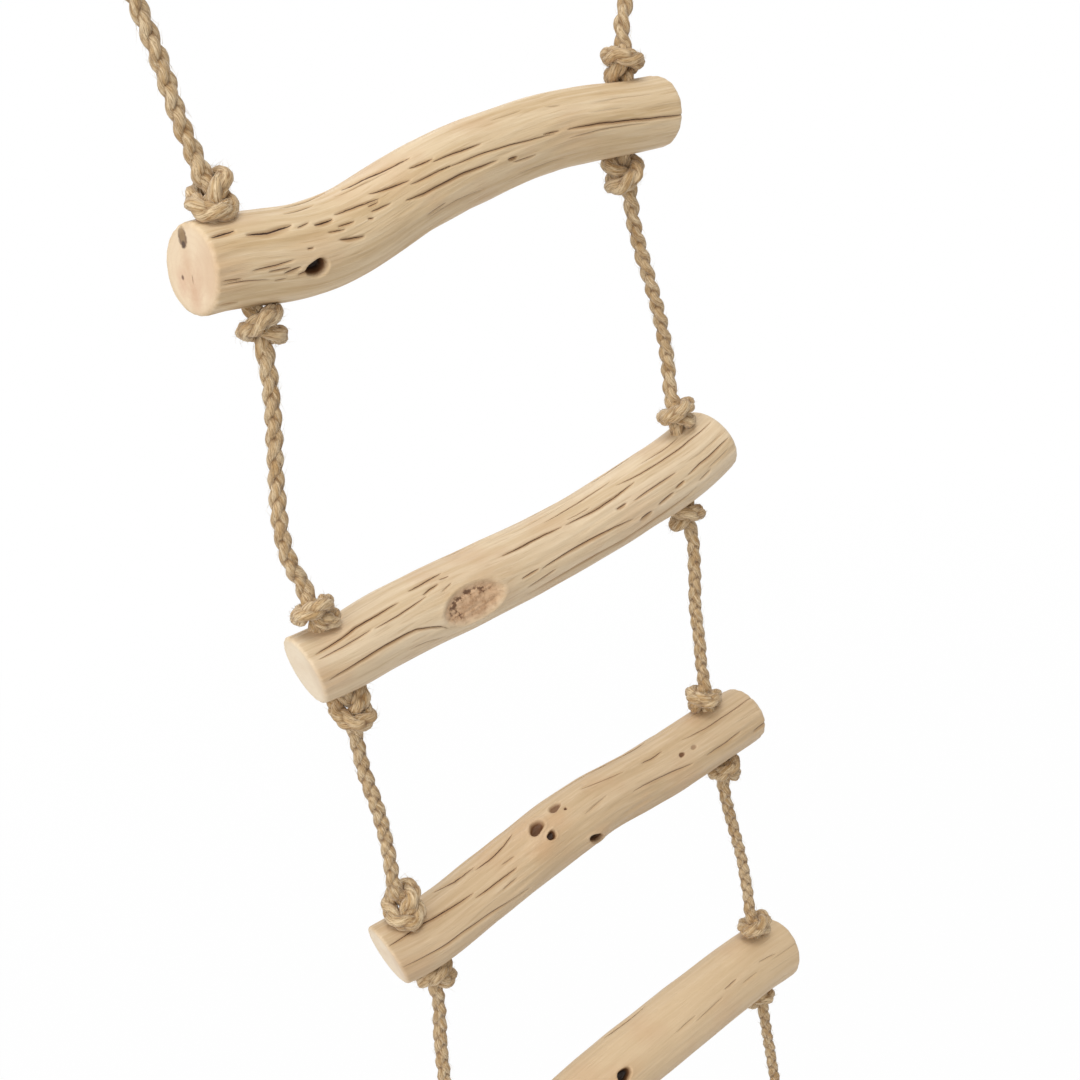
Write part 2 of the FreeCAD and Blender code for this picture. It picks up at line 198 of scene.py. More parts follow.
routes = {"left_rope": route_points(-1), "right_rope": route_points(1)}
print("a route has", len(routes["left_rope"]), "points")


# %% Drawing the route as a line
def spline_line(name, points):
    """The points of a NURBS spline of order 3 that has the given control points."""
    curve = bpy.data.curves.new(name, "CURVE")
    curve.dimensions = "3D"
    curve.resolution_u = 8
    spline = curve.splines.new("NURBS")
    spline.points.add(len(points) - 1)
    spline.points.foreach_set("co", np.c_[points, np.ones(len(points))].ravel())
    spline.order_u = 3
    spline.use_endpoint_u = True
    holder = bpy.data.objects.new(name, curve)
    mesh = bpy.data.meshes.new_from_object(holder)
    line = np.empty(len(mesh.vertices) * 3)
    mesh.vertices.foreach_get("co", line)
    bpy.data.objects.remove(holder)
    bpy.data.meshes.remove(mesh)
    return line.reshape(-1, 3)


def length_along(line):
    """The length along a line up to each of its points."""
    steps = np.linalg.norm(np.diff(line, axis=0), axis=1)
    return np.concatenate([[0], np.cumsum(steps)])


def spread_evenly(line, step):
    """The same line with points at equal distances, about one step apart."""
    along = length_along(line)
    places = np.linspace(0, along[-1], int(along[-1] / step) + 1)
    return np.stack([np.interp(places, along, line[:, axis]) for axis in range(3)], axis=1)


lines = {name: spline_line(name + "_line", points) for name, points in routes.items()}
for name, line in lines.items():
    print(name, "is", round(length_along(line)[-1], 3), "m long")


# %% [markdown]
# ## Helpers for meshes
# Every surface here is a grid of points. Rows follow one another along the piece, and
# each row goes once round it. Blender could loft such a tube through curves, but arrays
# keep the order of the points, so that numbers can be given to each of them later.

# %% Mesh helpers
def grid_faces(rows, columns, first=0):
    """The faces of a closed tube of rows x columns points, as index arrays: each point is
    joined to the next one round its row and to the same two in the next row."""
    index = first + np.arange(rows * columns).reshape(rows, columns)
    after = np.roll(index, -1, axis=1)
    return np.stack([index[:-1], after[:-1], after[1:], index[1:]], axis=-1).reshape(-1, 4)


def fan_faces(ring, pole, outward):
    """Triangles from a ring of points to one pole."""
    after = np.roll(ring, -1)
    middle = np.full(len(ring), pole)
    order = [after, ring, middle] if outward else [ring, after, middle]
    return np.stack(order, axis=-1)


def new_piece(name, points, quads, triangles):
    """A smooth mesh object from arrays of points, quads and triangles."""
    mesh = bpy.data.meshes.new(name)
    corners = np.concatenate([quads.ravel(), triangles.ravel()]).astype(np.int32)
    sizes = np.concatenate([np.full(len(quads), 4), np.full(len(triangles), 3)])
    starts = np.concatenate([[0], np.cumsum(sizes)[:-1]])
    mesh.vertices.add(len(points))
    mesh.vertices.foreach_set("co", points.ravel())
    mesh.loops.add(len(corners))
    mesh.loops.foreach_set("vertex_index", corners)
    mesh.polygons.add(len(sizes))
    mesh.polygons.foreach_set("loop_start", starts.astype(np.int32))
    mesh.polygons.foreach_set("use_smooth", np.ones(len(sizes), dtype=bool))
    mesh.update(calc_edges=True)
    mesh.validate()
    piece = bpy.data.objects.new(name, mesh)
    bpy.context.scene.collection.objects.link(piece)
    return piece


def give_numbers(piece, name, values):
    """Stores one number, or one vector, for each point of a mesh."""
    kind = "FLOAT" if values.ndim == 1 else "FLOAT_VECTOR"
    layer = piece.data.attributes.new(name, kind, "POINT")
    layer.data.foreach_set("value" if values.ndim == 1 else "vector",
                           np.ascontiguousarray(values, dtype=np.float32).ravel())


print("a tube of 4 rows of 3 points has", len(grid_faces(4, 3)), "faces")


# %% [markdown]
# ## The plait
# The rope is a three-strand plait. A smooth tube with a bump pattern would keep a
# straight outline, so the strands are modelled. Seen along its line, a strand swings from
# side to side once in a lay while it dips under its neighbours twice: x = A sin(t),
# y = B sin(2t), and the three strands are a third of a lay apart. Two directions square
# to the line are carried along it without twist, and the strands are drawn in them.

# %% Directions along a line
STEP = 0.62 * MM            # from one row of points to the next


def carried_directions(line):
    """The tangent at each point, and two directions square to it that turn as little as
    they can from one point to the next."""
    tangent = np.gradient(line, axis=0)
    tangent /= np.linalg.norm(tangent, axis=1)[:, None]
    across = np.empty_like(line)
    current = np.cross(tangent[0], (0.3, 1.0, 0.2))
    for place, along in enumerate(tangent):
        current = current - along * (current @ along)
        current = current / math.sqrt(current @ current)
        across[place] = current
    return tangent, across, np.cross(tangent, across)


def smooth_values(values, width):
    """A running mean over a number of points, with the ends held."""
    padded = np.pad(values, width, mode="edge")
    return np.convolve(padded, np.ones(2 * width + 1) / (2 * width + 1), mode="valid")


print("a rope gets", len(spread_evenly(lines["left_rope"], STEP)), "rows")


# %% [markdown]
# ## Tightening the knots
# The path's knots are a little open, because a solid rope can't press into itself. Real
# strands do, so each knot is drawn towards its middle and down onto its branch. Moving
# the path by a smooth share keeps the free runs where they are.

# %% Tightening the knots
KNOT_REACH = 11.0 * MM      # a knot ends at this distance from its middle
KNOT_FADE = 3.5 * MM        # over which the free run becomes the knot
KNOT_PULL = 0.10            # how much nearer to its middle each part of a knot is drawn
SEAT_PULL = 0.12            # how much nearer to its branch each part of a knot is drawn
SEAT_AWAY = 7.5 * MM        # from a knot's middle to the branch that it sits on


def knot_centres(side):
    """The middles of a rope's knots, in metres, and where each one's branch is: -1 below
    the knot, 1 above it and 0 for the knot at the rope's end."""
    way = LEFT_WAY if side < 0 else RIGHT_WAY
    found = [(knot[0], 0, knot[1]) for branch in way for knot in (branch[1], branch[4])]
    found.append((side * ROPE_LINE / MM + END_SIDEWAYS, 0, END_KNOT_HEIGHT))
    below = np.array([-1, 1] * len(way) + [0])
    return np.array(found) * MM, below


def tighten(line, centres, seats):
    """The line with its knots drawn together: each point near a knot moves towards the
    knot's middle, and towards the branch that the knot sits on. Also how much each point
    belongs to a knot, 1 inside and 0 on a free run."""
    far = np.linalg.norm(line[:, None] - centres[None], axis=2)
    nearest = far.argmin(axis=1)
    share = np.clip((KNOT_REACH - far.min(axis=1)) / KNOT_FADE, 0, 1)
    share = smooth_values(share * share * (3 - 2 * share), 3)
    moved = line + (centres[nearest] - line) * (KNOT_PULL * share)[:, None] * (1, 1, 0)
    seat = centres[nearest, 2] + seats[nearest] * SEAT_AWAY
    moved[:, 2] += (seat - line[:, 2]) * SEAT_PULL * share
    return moved, share


print(len(knot_centres(1)[0]), "knots of each rope are tightened")


# %% The three strands
LAY = 18.0 * MM                     # the length in which the plait repeats
SWING = (0.92 * MM, 0.85 * MM)      # on a free run, and in a knot
DIP = (0.82 * MM, 0.80 * MM)
STRAND = (1.52 * MM, 1.90 * MM)
ROUND_POINTS = 12
YARN_TWIST = 3.4 * MM               # the length in which a strand's yarns turn by a radian
LOOSE_WAVES = (9.7 * MM, 4.3 * MM)  # two slow waves that make the plait looser and tighter


def plait(line, knotted, rng):
    """The points of three strands round a line, strand by strand, with how deep each point
    lies between the strands, from 0 to 1, for the painted shade there, and their fibre
    places. Each size goes from its value on a free run to its value in a knot, where the
    strands are pressed into one another."""
    along = length_along(line)
    tangent, across, upward = carried_directions(line)
    swing_size, dip_size, radius_size = [
        free + (tied - free) * knotted for free, tied in (SWING, DIP, STRAND)]
    loosen = 1 + 0.06 * np.sin(along / LOOSE_WAVES[0]) * np.sin(along / LOOSE_WAVES[1] + 1.0)
    around = np.linspace(0, 2 * math.pi, ROUND_POINTS, endpoint=False)
    points, crevice_shade, fibre = [], [], []
    for strand in range(3):
        turn = 2 * math.pi * (along / LAY + strand / 3)
        centre = (line + across * (swing_size * loosen * np.sin(turn))[:, None]
                  + upward * (dip_size * np.sin(2 * turn))[:, None])
        way = np.gradient(centre, axis=0)
        way /= np.linalg.norm(way, axis=1)[:, None]
        first = across - way * np.sum(across * way, axis=1)[:, None]
        first /= np.linalg.norm(first, axis=1)[:, None]
        second = np.cross(way, first)
        twist = around[None, :] + along[:, None] / YARN_TWIST + 2.1 * strand
        lump = 1 + 0.05 * np.cos(4 * twist) + 0.035 * np.cos(3 * twist + 1.3)
        drift = 1 + 0.10 * smooth_values(rng.standard_normal(len(line)), 5)
        radius = (radius_size * drift)[:, None] * lump
        rim = (centre[:, None] + first[:, None] * (np.cos(around) * radius)[..., None]
               + second[:, None] * (np.sin(around) * radius)[..., None])
        away = rim - line[:, None]
        wide = np.sum(away * across[:, None], axis=2) / (swing_size + radius_size)[:, None]
        high = np.sum(away * upward[:, None], axis=2) / (dip_size + radius_size)[:, None]
        points.append(rim.reshape(-1, 3))
        # How deep each point lies between the strands: the material paints shade there by it.
        crevice_shade.append(np.clip((0.93 - np.hypot(wide, high)) / 0.30, 0, 1).ravel())
        fibre.append(np.stack([
            np.cos(twist) * STRAND[0] + 0.01 * strand, np.sin(twist) * STRAND[0],
            np.repeat(along[:, None], ROUND_POINTS, axis=1)], axis=-1).reshape(-1, 3))
    return points, crevice_shade, fibre


print("each strand is", round(2 * STRAND[0] / MM, 1), "mm thick on a free run")


# %% [markdown]
# ## Stray fibres
# Jute is hairy. Blender's own hair would not go into an exported mesh, so each hair is
# a thin curved spike with three sides that leaves the plait at a low angle. The places
# come from a seeded random generator, so every run gives the same rope.

# %% Hairs
HAIRS = 2300
HAIR_THICKNESS = 0.06 * MM
HAIR_RINGS = 4
HAIR_REACH = 4.3 * MM               # no tip is further from the rope's path
HAIR_ROOT = (2.1 * MM, 2.55 * MM)   # from the line, on a free run and in a knot
HAIR_LENGTH = (2.0, 6.5)            # the shortest and the longest, in mm
HAIR_LIFT = (8, 42)                 # the angle to the rope, in degrees
HAIR_RISE = 1.9 * MM                # the most that a tip stands out from its root
NEAR_ROWS = 12                      # how many rows on each side a tip is measured against


def hairs(line, path, knotted, rng):
    """The points of all hairs, ring by ring: root + direction x way + bend x way squared,
    with three points round each ring, and a last ring of almost no size. A hair that
    would stand too far from the rope's own path is shortened."""
    tangent, across, upward = carried_directions(line)
    surface = HAIR_ROOT[0] + (HAIR_ROOT[1] - HAIR_ROOT[0]) * knotted
    place = rng.integers(4, len(line) - 4, HAIRS)
    angle = rng.uniform(0, 2 * math.pi, HAIRS)[:, None]
    outward = across[place] * np.cos(angle) + upward[place] * np.sin(angle)
    sideways = np.cross(tangent[place], outward)
    sign = rng.choice([-1.0, 1.0], HAIRS)[:, None]
    lift = np.radians(rng.uniform(*HAIR_LIFT, HAIRS))[:, None]
    length = rng.uniform(*HAIR_LENGTH, HAIRS)[:, None] * MM
    length = np.minimum(length, HAIR_RISE / np.sin(lift))
    root = line[place] + outward * surface[place][:, None]
    start = tangent[place] * sign * np.cos(lift) + outward * np.sin(lift)
    bend = sideways * rng.uniform(-0.5, 0.5, HAIRS)[:, None]
    bend = bend - outward * rng.uniform(0, 0.35, HAIRS)[:, None]
    way = np.linspace(0, 1, HAIR_RINGS)[:, None, None, None]
    near = np.clip(place[:, None] + np.arange(-NEAR_ROWS, NEAR_ROWS + 1), 0, len(line) - 1)
    for _ in range(3):
        tip = root + (start + bend) * length
        reach = np.linalg.norm(path[near] - tip[:, None], axis=2).min(axis=1)[:, None]
        length = length * np.where(reach > HAIR_REACH, 0.6, 1.0)
    centre = root + start * length * way[..., 0] + bend * length * way[..., 0] ** 2
    around = np.array([0, 2, 4]) * math.pi / 3
    rim = (outward[:, None] * np.cos(around)[:, None] + sideways[:, None] * np.sin(around)[:, None])
    thick = HAIR_THICKNESS * (1.04 - way)
    return (centre[:, :, None] + rim[None] * thick).transpose(1, 0, 2, 3)


def hair_faces(first):
    """The faces of all hairs: each is a small closed tube, with a triangle at each end."""
    block = HAIR_RINGS * 3
    one = grid_faces(HAIR_RINGS, 3)
    starts = first + np.arange(HAIRS)[:, None, None] * block
    caps = np.array([(2, 1, 0), (block - 3, block - 2, block - 1)])
    return (starts + one[None]).reshape(-1, 4), (starts + caps[None]).reshape(-1, 3)


print("each rope has", HAIRS, "hairs")


# %% [markdown]
# ## Making the ropes
# Strands and hairs of a rope could be many objects. They are one mesh, so that the rope
# is one piece, with one material for all of it. Two numbers go with each point: how deep
# it lies between the strands, and its place along its own fibres.

# %% Making the ropes
HAIR_PALENESS = -0.4        # the crevice depth that stands for a hair: paler than a strand


def make_rope(name, seed):
    """One rope as a mesh: three strands with closed ends, and the hairs."""
    rng = np.random.default_rng(seed)
    path = spread_evenly(lines[name], STEP)
    line, knotted = tighten(path, *knot_centres(-1 if name == "left_rope" else 1))
    points, crevice_shade, fibre = plait(line, knotted, rng)
    rows = len(line)
    quads, triangles, blocks, deep, place = [], [], [], [], []
    first = 0
    for strand in range(3):
        ring = points[strand].reshape(rows, ROUND_POINTS, 3)
        ends = np.array([ring[0].mean(axis=0), ring[-1].mean(axis=0)])
        blocks += [points[strand], ends]
        deep += [crevice_shade[strand], np.zeros(2)]
        place += [fibre[strand], fibre[strand][[0, -1]]]
        quads.append(grid_faces(rows, ROUND_POINTS, first))
        last = first + rows * ROUND_POINTS
        triangles.append(fan_faces(np.arange(first, first + ROUND_POINTS), last, True))
        triangles.append(fan_faces(np.arange(last - ROUND_POINTS, last), last + 1, False))
        first = last + 2
    hair = hairs(line, path, knotted, rng)
    hair_quads, hair_ends = hair_faces(first)
    blocks.append(hair.reshape(-1, 3))
    deep.append(np.full(HAIRS * HAIR_RINGS * 3, HAIR_PALENESS))
    place.append(hair.reshape(-1, 3))
    piece = new_piece(name + "_plait", np.vstack(blocks), np.vstack(quads + [hair_quads]),
                      np.vstack(triangles + [hair_ends]))
    give_numbers(piece, "crevice_shade", np.concatenate(deep))
    give_numbers(piece, "fibre", np.vstack(place))
    print(name, "has", len(piece.data.polygons), "faces")
    return piece


ropes = {name: make_rope(name, seed) for name, seed in (("left_rope", 11), ("right_rope", 12))}


# %% [markdown]
# ## What the branches are
# A branch is a tube round a crooked line. It could be sculpted, but a formula keeps it
# exactly on the CAD model: the line and the girth pass smoothly through the same
# stations, and the section is a little out of round. On that tube lie the long low
# ridges that the peeled bark leaves, grooves and drying cracks, knot holes, and the scar
# of a side branch. All of them move the surface in or out.

# %% The stations of the branches
# Each is (diameter, height of the line, how far the left and the right end reach past the
# holes, (oval, its turn, lobe, its turn), stations), and each station is (share of the way
# between the holes, or None at an end, y, z, girth as a share of the diameter).
STATIONS = {
    "top_rung": (26.0, -120.0, 11.6, 14.8, (0.020, 0.6, 0.012, 1.1), [
        (None, 0.0, 0.1, 0.96), (0.01, 0.0, -1.5, 0.99), (0.12, -0.5, -4.6, 1.01),
        (0.23, -1.0, -4.8, 1.0), (0.35, -1.0, -1.5, 0.98), (0.48, -0.5, 1.4, 0.97),
        (0.64, 0.5, 2.6, 0.94), (0.81, 1.0, 2.0, 0.91), (0.985, 0.0, -1.3, 0.9),
        (None, -0.5, -3.2, 0.89)]),
    "second_rung": (24.6, -242.6, 12.5, 18.4, (0.018, 1.9, 0.014, 0.4), [
        (None, 0.0, -0.9, 0.9), (0.0, 0.0, -2.0, 0.92), (0.1, 0.6, -2.2, 0.95),
        (0.23, 1.2, -3.2, 0.97), (0.37, 1.4, -5.0, 0.98), (0.53, 1.2, -6.2, 0.98),
        (0.7, 0.6, -6.2, 0.99), (0.87, 0.0, -4.8, 1.02), (1.02, 0.0, -3.0, 1.03),
        (None, 0.0, 0.7, 1.0)]),
    "third_rung": (23.6, -358.3, 12.4, 14.8, (0.022, 0.2, 0.016, 2.0), [
        (None, 0.0, 3.9, 0.94), (0.01, 0.0, 1.8, 0.98), (0.11, 0.0, 1.9, 0.97),
        (0.22, 0.0, 2.9, 0.98), (0.34, 0.0, 4.0, 1.0), (0.45, 0.0, 4.8, 1.01),
        (0.55, 0.0, 4.8, 0.97), (0.68, 0.0, 2.3, 0.96), (0.83, 0.0, 0.0, 0.99),
        (0.98, 0.0, -1.2, 1.0), (None, 0.0, -2.4, 0.98)]),
    "bottom_rung": (26.8, -479.9, 13.0, 15.5, (0.016, 1.3, 0.010, 0.2), [
        (None, 0.0, 2.6, 0.96), (0.0, 0.0, 3.0, 0.98), (0.2, 0.4, 4.8, 0.99),
        (0.4, 0.6, 5.4, 1.0), (0.58, 0.4, 4.7, 1.0), (0.75, 0.0, 4.0, 1.0),
        (0.88, 0.0, 2.9, 0.99), (1.0, 0.0, 1.2, 0.99), (None, 0.0, -1.6, 0.97)]),
}


print(len(STATIONS["top_rung"][5]), "stations on the top branch")


# %% The line and the girth of a branch
HALF_SPACING = 76.0         # from the middle to the holes, in mm


def natural_spline(knots, values, at):
    """A smooth curve through values at the knots, bent least: a cubic between each two
    knots, whose second derivatives solve one small linear system and are 0 at the ends."""
    gap = np.diff(knots)
    slope = np.diff(values, axis=0) / gap[:, None]
    system = np.eye(len(knots))
    right = np.zeros_like(values)
    inner = np.arange(1, len(knots) - 1)
    system[inner, inner - 1] = gap[:-1]
    system[inner, inner] = 2 * (gap[:-1] + gap[1:])
    system[inner, inner + 1] = gap[1:]
    right[inner] = 6 * (slope[1:] - slope[:-1])
    bend = np.linalg.solve(system, right)
    cell = np.clip(np.searchsorted(knots, at) - 1, 0, len(gap) - 1)
    width = gap[cell][:, None]
    after = (at - knots[cell])[:, None]
    before = width - after
    return (bend[cell] * before ** 3 + bend[cell + 1] * after ** 3) / (6 * width) + (
        values[cell] / width - bend[cell] * width / 6) * before + (
        values[cell + 1] / width - bend[cell + 1] * width / 6) * after


def branch_line(name, places):
    """The centre in millimetres and the radius at shares from 0 to 1 of the branch."""
    diameter, height, left_out, right_out, _, stations = STATIONS[name]
    values = []
    for number, (share, y, z, girth) in enumerate(stations):
        if share is None:
            x = -HALF_SPACING - left_out if number == 0 else HALF_SPACING + right_out
        else:
            x = (share - 0.5) * 2 * HALF_SPACING
        values.append((x, y, height + z, girth * diameter / 2))
    values = np.array(values)
    knots = length_along(values[:, :3])
    return natural_spline(knots, values, places * knots[-1])


print("the top branch begins at x, y, z and radius",
      branch_line("top_rung", np.array([0.0]))[0].round(1))


# %% [markdown]
# ## Grooves, cracks and knots
# A groove is a chain of (x, angle) points: x in millimetres from the ladder's middle and
# the angle in degrees round the branch, 0 at the front and 90 on top. The drawn ones are
# those that the front shows. One could scatter them all at random, but then the front
# would not be this ladder. The back, which isn't known, gets seeded ones of the same kind.

# %% The drawn grooves
# Each is (width in mm, depth in mm, darkness of its painted shade from 0 to 1, chain of points).
GROOVES = {
    "top_rung": [
        (1.5, 0.7, 0.75, [(-86, 44), (-78, 46)]),
        (2.2, 0.9, 0.7, [(-76, 37), (-70, 36.5), (-62, 42)]),
        (0.7, 0.4, 0.7, [(-61, 37), (-56, 42)]),
        (1.5, 0.8, 0.8, [(-55, 37), (-52, 37.5), (-48, 38)]),
        (1.1, 0.6, 0.75, [(-47, 42), (-42, 42), (-38, 40), (-31, 34)]),
        (0.9, 0.6, 0.9, [(-33, 46), (-26, 38), (-20, 33)]),
        (1.2, 0.7, 0.8, [(-38, 74), (-30, 71), (-22, 63), (-15, 58)]),
        (0.7, 0.3, 0.4, [(-43, 66), (-34, 64), (-22, 57)]),
        (0.9, 0.4, 0.5, [(-63, 59), (-56, 63), (-50, 67)]),
        (1.4, 0.5, 0.5, [(-62, 76), (-50, 85), (-41, 92)]),
        (0.9, 0.6, 0.85, [(-18, 46), (-14, 44), (-10, 42)]),
        (0.9, 0.6, 0.85, [(-11, 38), (-2, 35), (7, 31)]),
        (0.8, 0.5, 0.8, [(-21, 28), (-14, 25), (-6, 23)]),
        (0.7, 0.5, 0.75, [(-10, 23), (8, 18), (22, 12), (35, 6)]),
        (1.1, 0.8, 1.0, [(-25, 15), (-18, 9), (-5, 7), (10, 2)]),
        (1.3, 0.9, 1.0, [(14, -2.5), (18, -4.5)]),
        (0.7, 0.4, 0.6, [(16, -10), (26, -12.5)]),
        (0.7, 0.4, 0.75, [(30, 12), (37, 8.5)]),
        (1.2, 0.8, 0.9, [(40, 7), (55, 5), (70, 2), (92, -5)]),
        (0.6, 0.3, 0.5, [(40, -6), (60, -4), (75, -6)]),
        (0.7, 0.4, 0.8, [(-52, 24), (-46, 21)]),
        (0.8, 0.4, 0.85, [(-48, 27), (-42, 25)]),
        (0.9, 0.4, 0.85, [(-38, 21), (-36, 18)]),
        (0.8, 0.4, 0.8, [(-36, 26), (-29, 22)]),
        (0.7, 0.4, 0.7, [(-36, 33), (-32, 31)]),
        (1.1, 0.7, 0.95, [(-49, 12), (-41, 4)]),
        (0.7, 0.3, 0.8, [(-60, 11), (-57.5, 11)]),
        (0.8, 0.4, 0.8, [(-77, -6), (-70, -3), (-64, 1)]),
        (0.7, 0.4, 0.75, [(-72, -10), (-65, -7)]),
        (1.3, 0.5, 0.8, [(-67, -14), (-62, -8)]),
        (1.1, 0.5, 0.8, [(-63, -18), (-59, -13)]),
        (0.6, 0.3, 0.7, [(-86, -16), (-78, -17), (-71, -20)]),
        (0.6, 0.3, 0.7, [(-86, -11), (-80, -13)]),
        (0.7, 0.3, 0.6, [(-70, -22), (-66, -21)]),
        (0.9, 0.5, 0.85, [(-86, -44), (-80, -48)]),
        (0.9, 0.3, 0.5, [(-20, -18), (-12, -17)]),
        (1.1, 0.4, 0.45, [(-20, -24), (-8, -23), (4, -30)]),
        (1.0, 0.3, 0.4, [(18, -32), (40, -37)]),
        (0.8, 0.3, 0.35, [(15, 58), (28, 57)]),
        (0.8, 0.3, 0.35, [(36, 50), (42, 45)]),
        (0.8, 0.2, 0.3, [(54, 37), (65, 39), (82, 36)]),
        (0.7, 0.2, 0.3, [(50, 24), (65, 22)]),
    ],
    "second_rung": [
        (1.1, 0.7, 0.95, [(-86, 45), (-76, 54), (-72, 57), (-55, 56)]),
        (0.7, 0.4, 0.75, [(-86, 36), (-75, 40), (-68, 40)]),
        (0.7, 0.4, 0.8, [(-67, 39), (-58, 38), (-46, 44)]),
        (1.2, 0.8, 0.95, [(-86, -1), (-76, 6), (-66, 8), (-54, 6), (-49, -1), (-44, -12)]),
        (0.7, 0.4, 0.6, [(-49, -1), (-45, -8), (-42, -18)]),
        (1.1, 0.5, 0.7, [(-50, 66), (-43, 68), (-36, 70)]),
        (0.9, 0.5, 0.8, [(-47, 48), (-44, 52), (-40, 54)]),
        (0.6, 0.3, 0.5, [(-41, 40), (-36, 46)]),
        (0.7, 0.3, 0.7, [(-39, 59), (-35, 58)]),
        (1.0, 0.6, 0.9, [(-14, 52), (5, 53), (13, 50)]),
        (1.0, 0.6, 0.9, [(14, 50), (30, 48), (38, 50), (48, 53)]),
        (0.8, 0.4, 0.6, [(8, 73), (25, 77), (42, 80)]),
        (0.7, 0.3, 0.3, [(-5, 85), (15, 88), (28, 93)]),
        (1.0, 0.5, 0.75, [(41, 66), (52, 60), (65, 60), (80, 62), (92, 60)]),
        (0.9, 0.4, 0.55, [(55, 77), (65, 76), (77, 79)]),
        (0.7, 0.3, 0.5, [(16, 57), (27, 56)]),
        (1.0, 0.6, 0.95, [(35, 31), (40, 31)]),
        (0.9, 0.5, 0.8, [(43, 28), (55, 30), (64, 30)]),
        (0.7, 0.2, 0.35, [(70, 34), (92, 34)]),
        (0.8, 0.5, 0.85, [(-11, 6), (-3, 8)]),
        (1.1, 0.7, 0.95, [(-2, 5), (8, 9), (20, 10), (32, 7), (40, 1)]),
        (2.2, 0.8, 0.8, [(43, -7), (49, -5.5)]),
        (1.2, 0.7, 0.9, [(52, -1), (60, 4)]),
        (1.3, 0.7, 0.85, [(61, 8), (66, 11)]),
        (1.0, 0.6, 0.85, [(68, 16), (75, 20), (92, 20)]),
        (0.9, 0.4, 0.75, [(-9, -13), (4, -7)]),
        (1.4, 0.6, 0.8, [(-9, -28), (8, -25), (22, -24), (35, -28), (55, -26), (66, -18),
                         (71, -12)]),
        (1.2, 0.4, 0.5, [(72, -4), (79, -1)]),
        (0.8, 0.3, 0.4, [(78, 4), (90, 6)]),
        (1.0, 0.3, 0.4, [(-58, -22), (-50, -26), (-42, -33)]),
    ],
    "third_rung": [
        (1.5, 0.7, 0.75, [(-88, 52), (-80, 58), (-76, 60), (-65, 55), (-54, 50)]),
        (1.0, 0.5, 0.8, [(-55, 41), (-45, 39), (-36, 38)]),
        (1.5, 0.5, 0.6, [(-64, 103), (-56, 92), (-47, 90)]),
        (1.3, 0.5, 0.65, [(-48, 82), (-42, 81), (-34, 85), (-28, 94)]),
        (0.8, 0.3, 0.5, [(-40, 58), (-34, 56)]),
        (0.9, 0.3, 0.5, [(-45, 24), (-38, 24)]),
        (1.2, 0.5, 0.6, [(-88, 10), (-65, 8), (-52, 3), (-35, -8)]),
        (1.3, 0.5, 0.4, [(2, 81), (12, 72), (20, 67)]),
        (1.3, 0.5, 0.55, [(28, 65), (34, 64), (40, 66)]),
        (1.4, 0.5, 0.5, [(50, 64), (62, 58), (75, 58), (92, 63)]),
        (1.2, 0.4, 0.35, [(-4, 38), (8, 43)]),
        (1.6, 0.6, 0.5, [(18, 25), (30, 25), (40, 21), (49, 15)]),
        (1.4, 0.5, 0.5, [(56, 14), (66, 14), (76, 17)]),
        (1.6, 0.6, 0.55, [(82, 1), (92, 5)]),
    ],
    "bottom_rung": [
        (1.2, 0.3, 0.35, [(18, 38), (30, 40)]),
        (1.2, 0.3, 0.4, [(28, 31), (45, 35)]),
        (1.2, 0.4, 0.5, [(47, 43), (55, 44)]),
        (1.1, 0.3, 0.4, [(68, 44), (78, 38)]),
        (1.0, 0.3, 0.3, [(56, 31), (66, 31)]),
        (0.9, 0.2, 0.25, [(74, 32), (94, 34)]),
    ],
}

print(sum(len(chains) for chains in GROOVES.values()), "grooves are drawn")


# %% The drawn knot holes and swellings
# Each is (x, angle, half length and half width in mm, lean in degrees, depth in mm,
# raised rim in mm, darkness of the painted shade in the pit).
KNOTS = {
    "top_rung": [
        (-57, -14, 2.9, 2.25, 20, 4.5, 0.12, 1.0),
    ],
    "second_rung": [],
    "third_rung": [
        (-21, 71, 3.3, 2.1, 25, 2.2, 0.3, 0.6),
        (-10.5, 80, 2.6, 1.5, 10, 0.9, 0.15, 0.45),
        (-19, 44, 1.8, 1.3, 15, 2.2, 0.3, 0.85),
        (-8, 66, 0.6, 0.5, 0, 0.6, 0.0, 0.6),
        (-2.5, -14, 3.8, 1.6, -38, 3.2, 0.3, 0.95),
        (46, 40, 1.5, 0.9, 0, 0.5, 0.0, 0.5),
        (52.5, 40, 1.4, 0.9, 0, 0.3, 0.0, 0.3),
    ],
    "bottom_rung": [
        (-11, 38, 3.0, 2.2, 10, 4.0, 0.15, 1.0),
    ],
}
# Low swellings over knots that have grown in: (x, angle, half length, half width, height).
SWELLS = {
    "top_rung": [(-57, 5, 12, 6, 0.3)],
    "second_rung": [],
    "third_rung": [(-24, 36, 8, 6, 0.8), (-14, 60, 9, 6, 0.5), (-2, -12, 9, 5, 0.6)],
    "bottom_rung": [(-11, 38, 12, 7, 0.4)],
}
print(sum(len(knots) for knots in KNOTS.values()), "knot holes are drawn")


# %% [markdown]
# ## Ridges, grooves and knots as heights
# Noise would give a lumpy stone, not wood. What shapes wood runs along it or round a
# knot, so each kind of mark has a formula of its own in the two directions of the
# surface, x along the branch and the angle round it.

# %% The ridges
RIDGE_HEIGHT = {"top_rung": 0.17, "second_rung": 0.13, "third_rung": 0.15, "bottom_rung": 0.09}


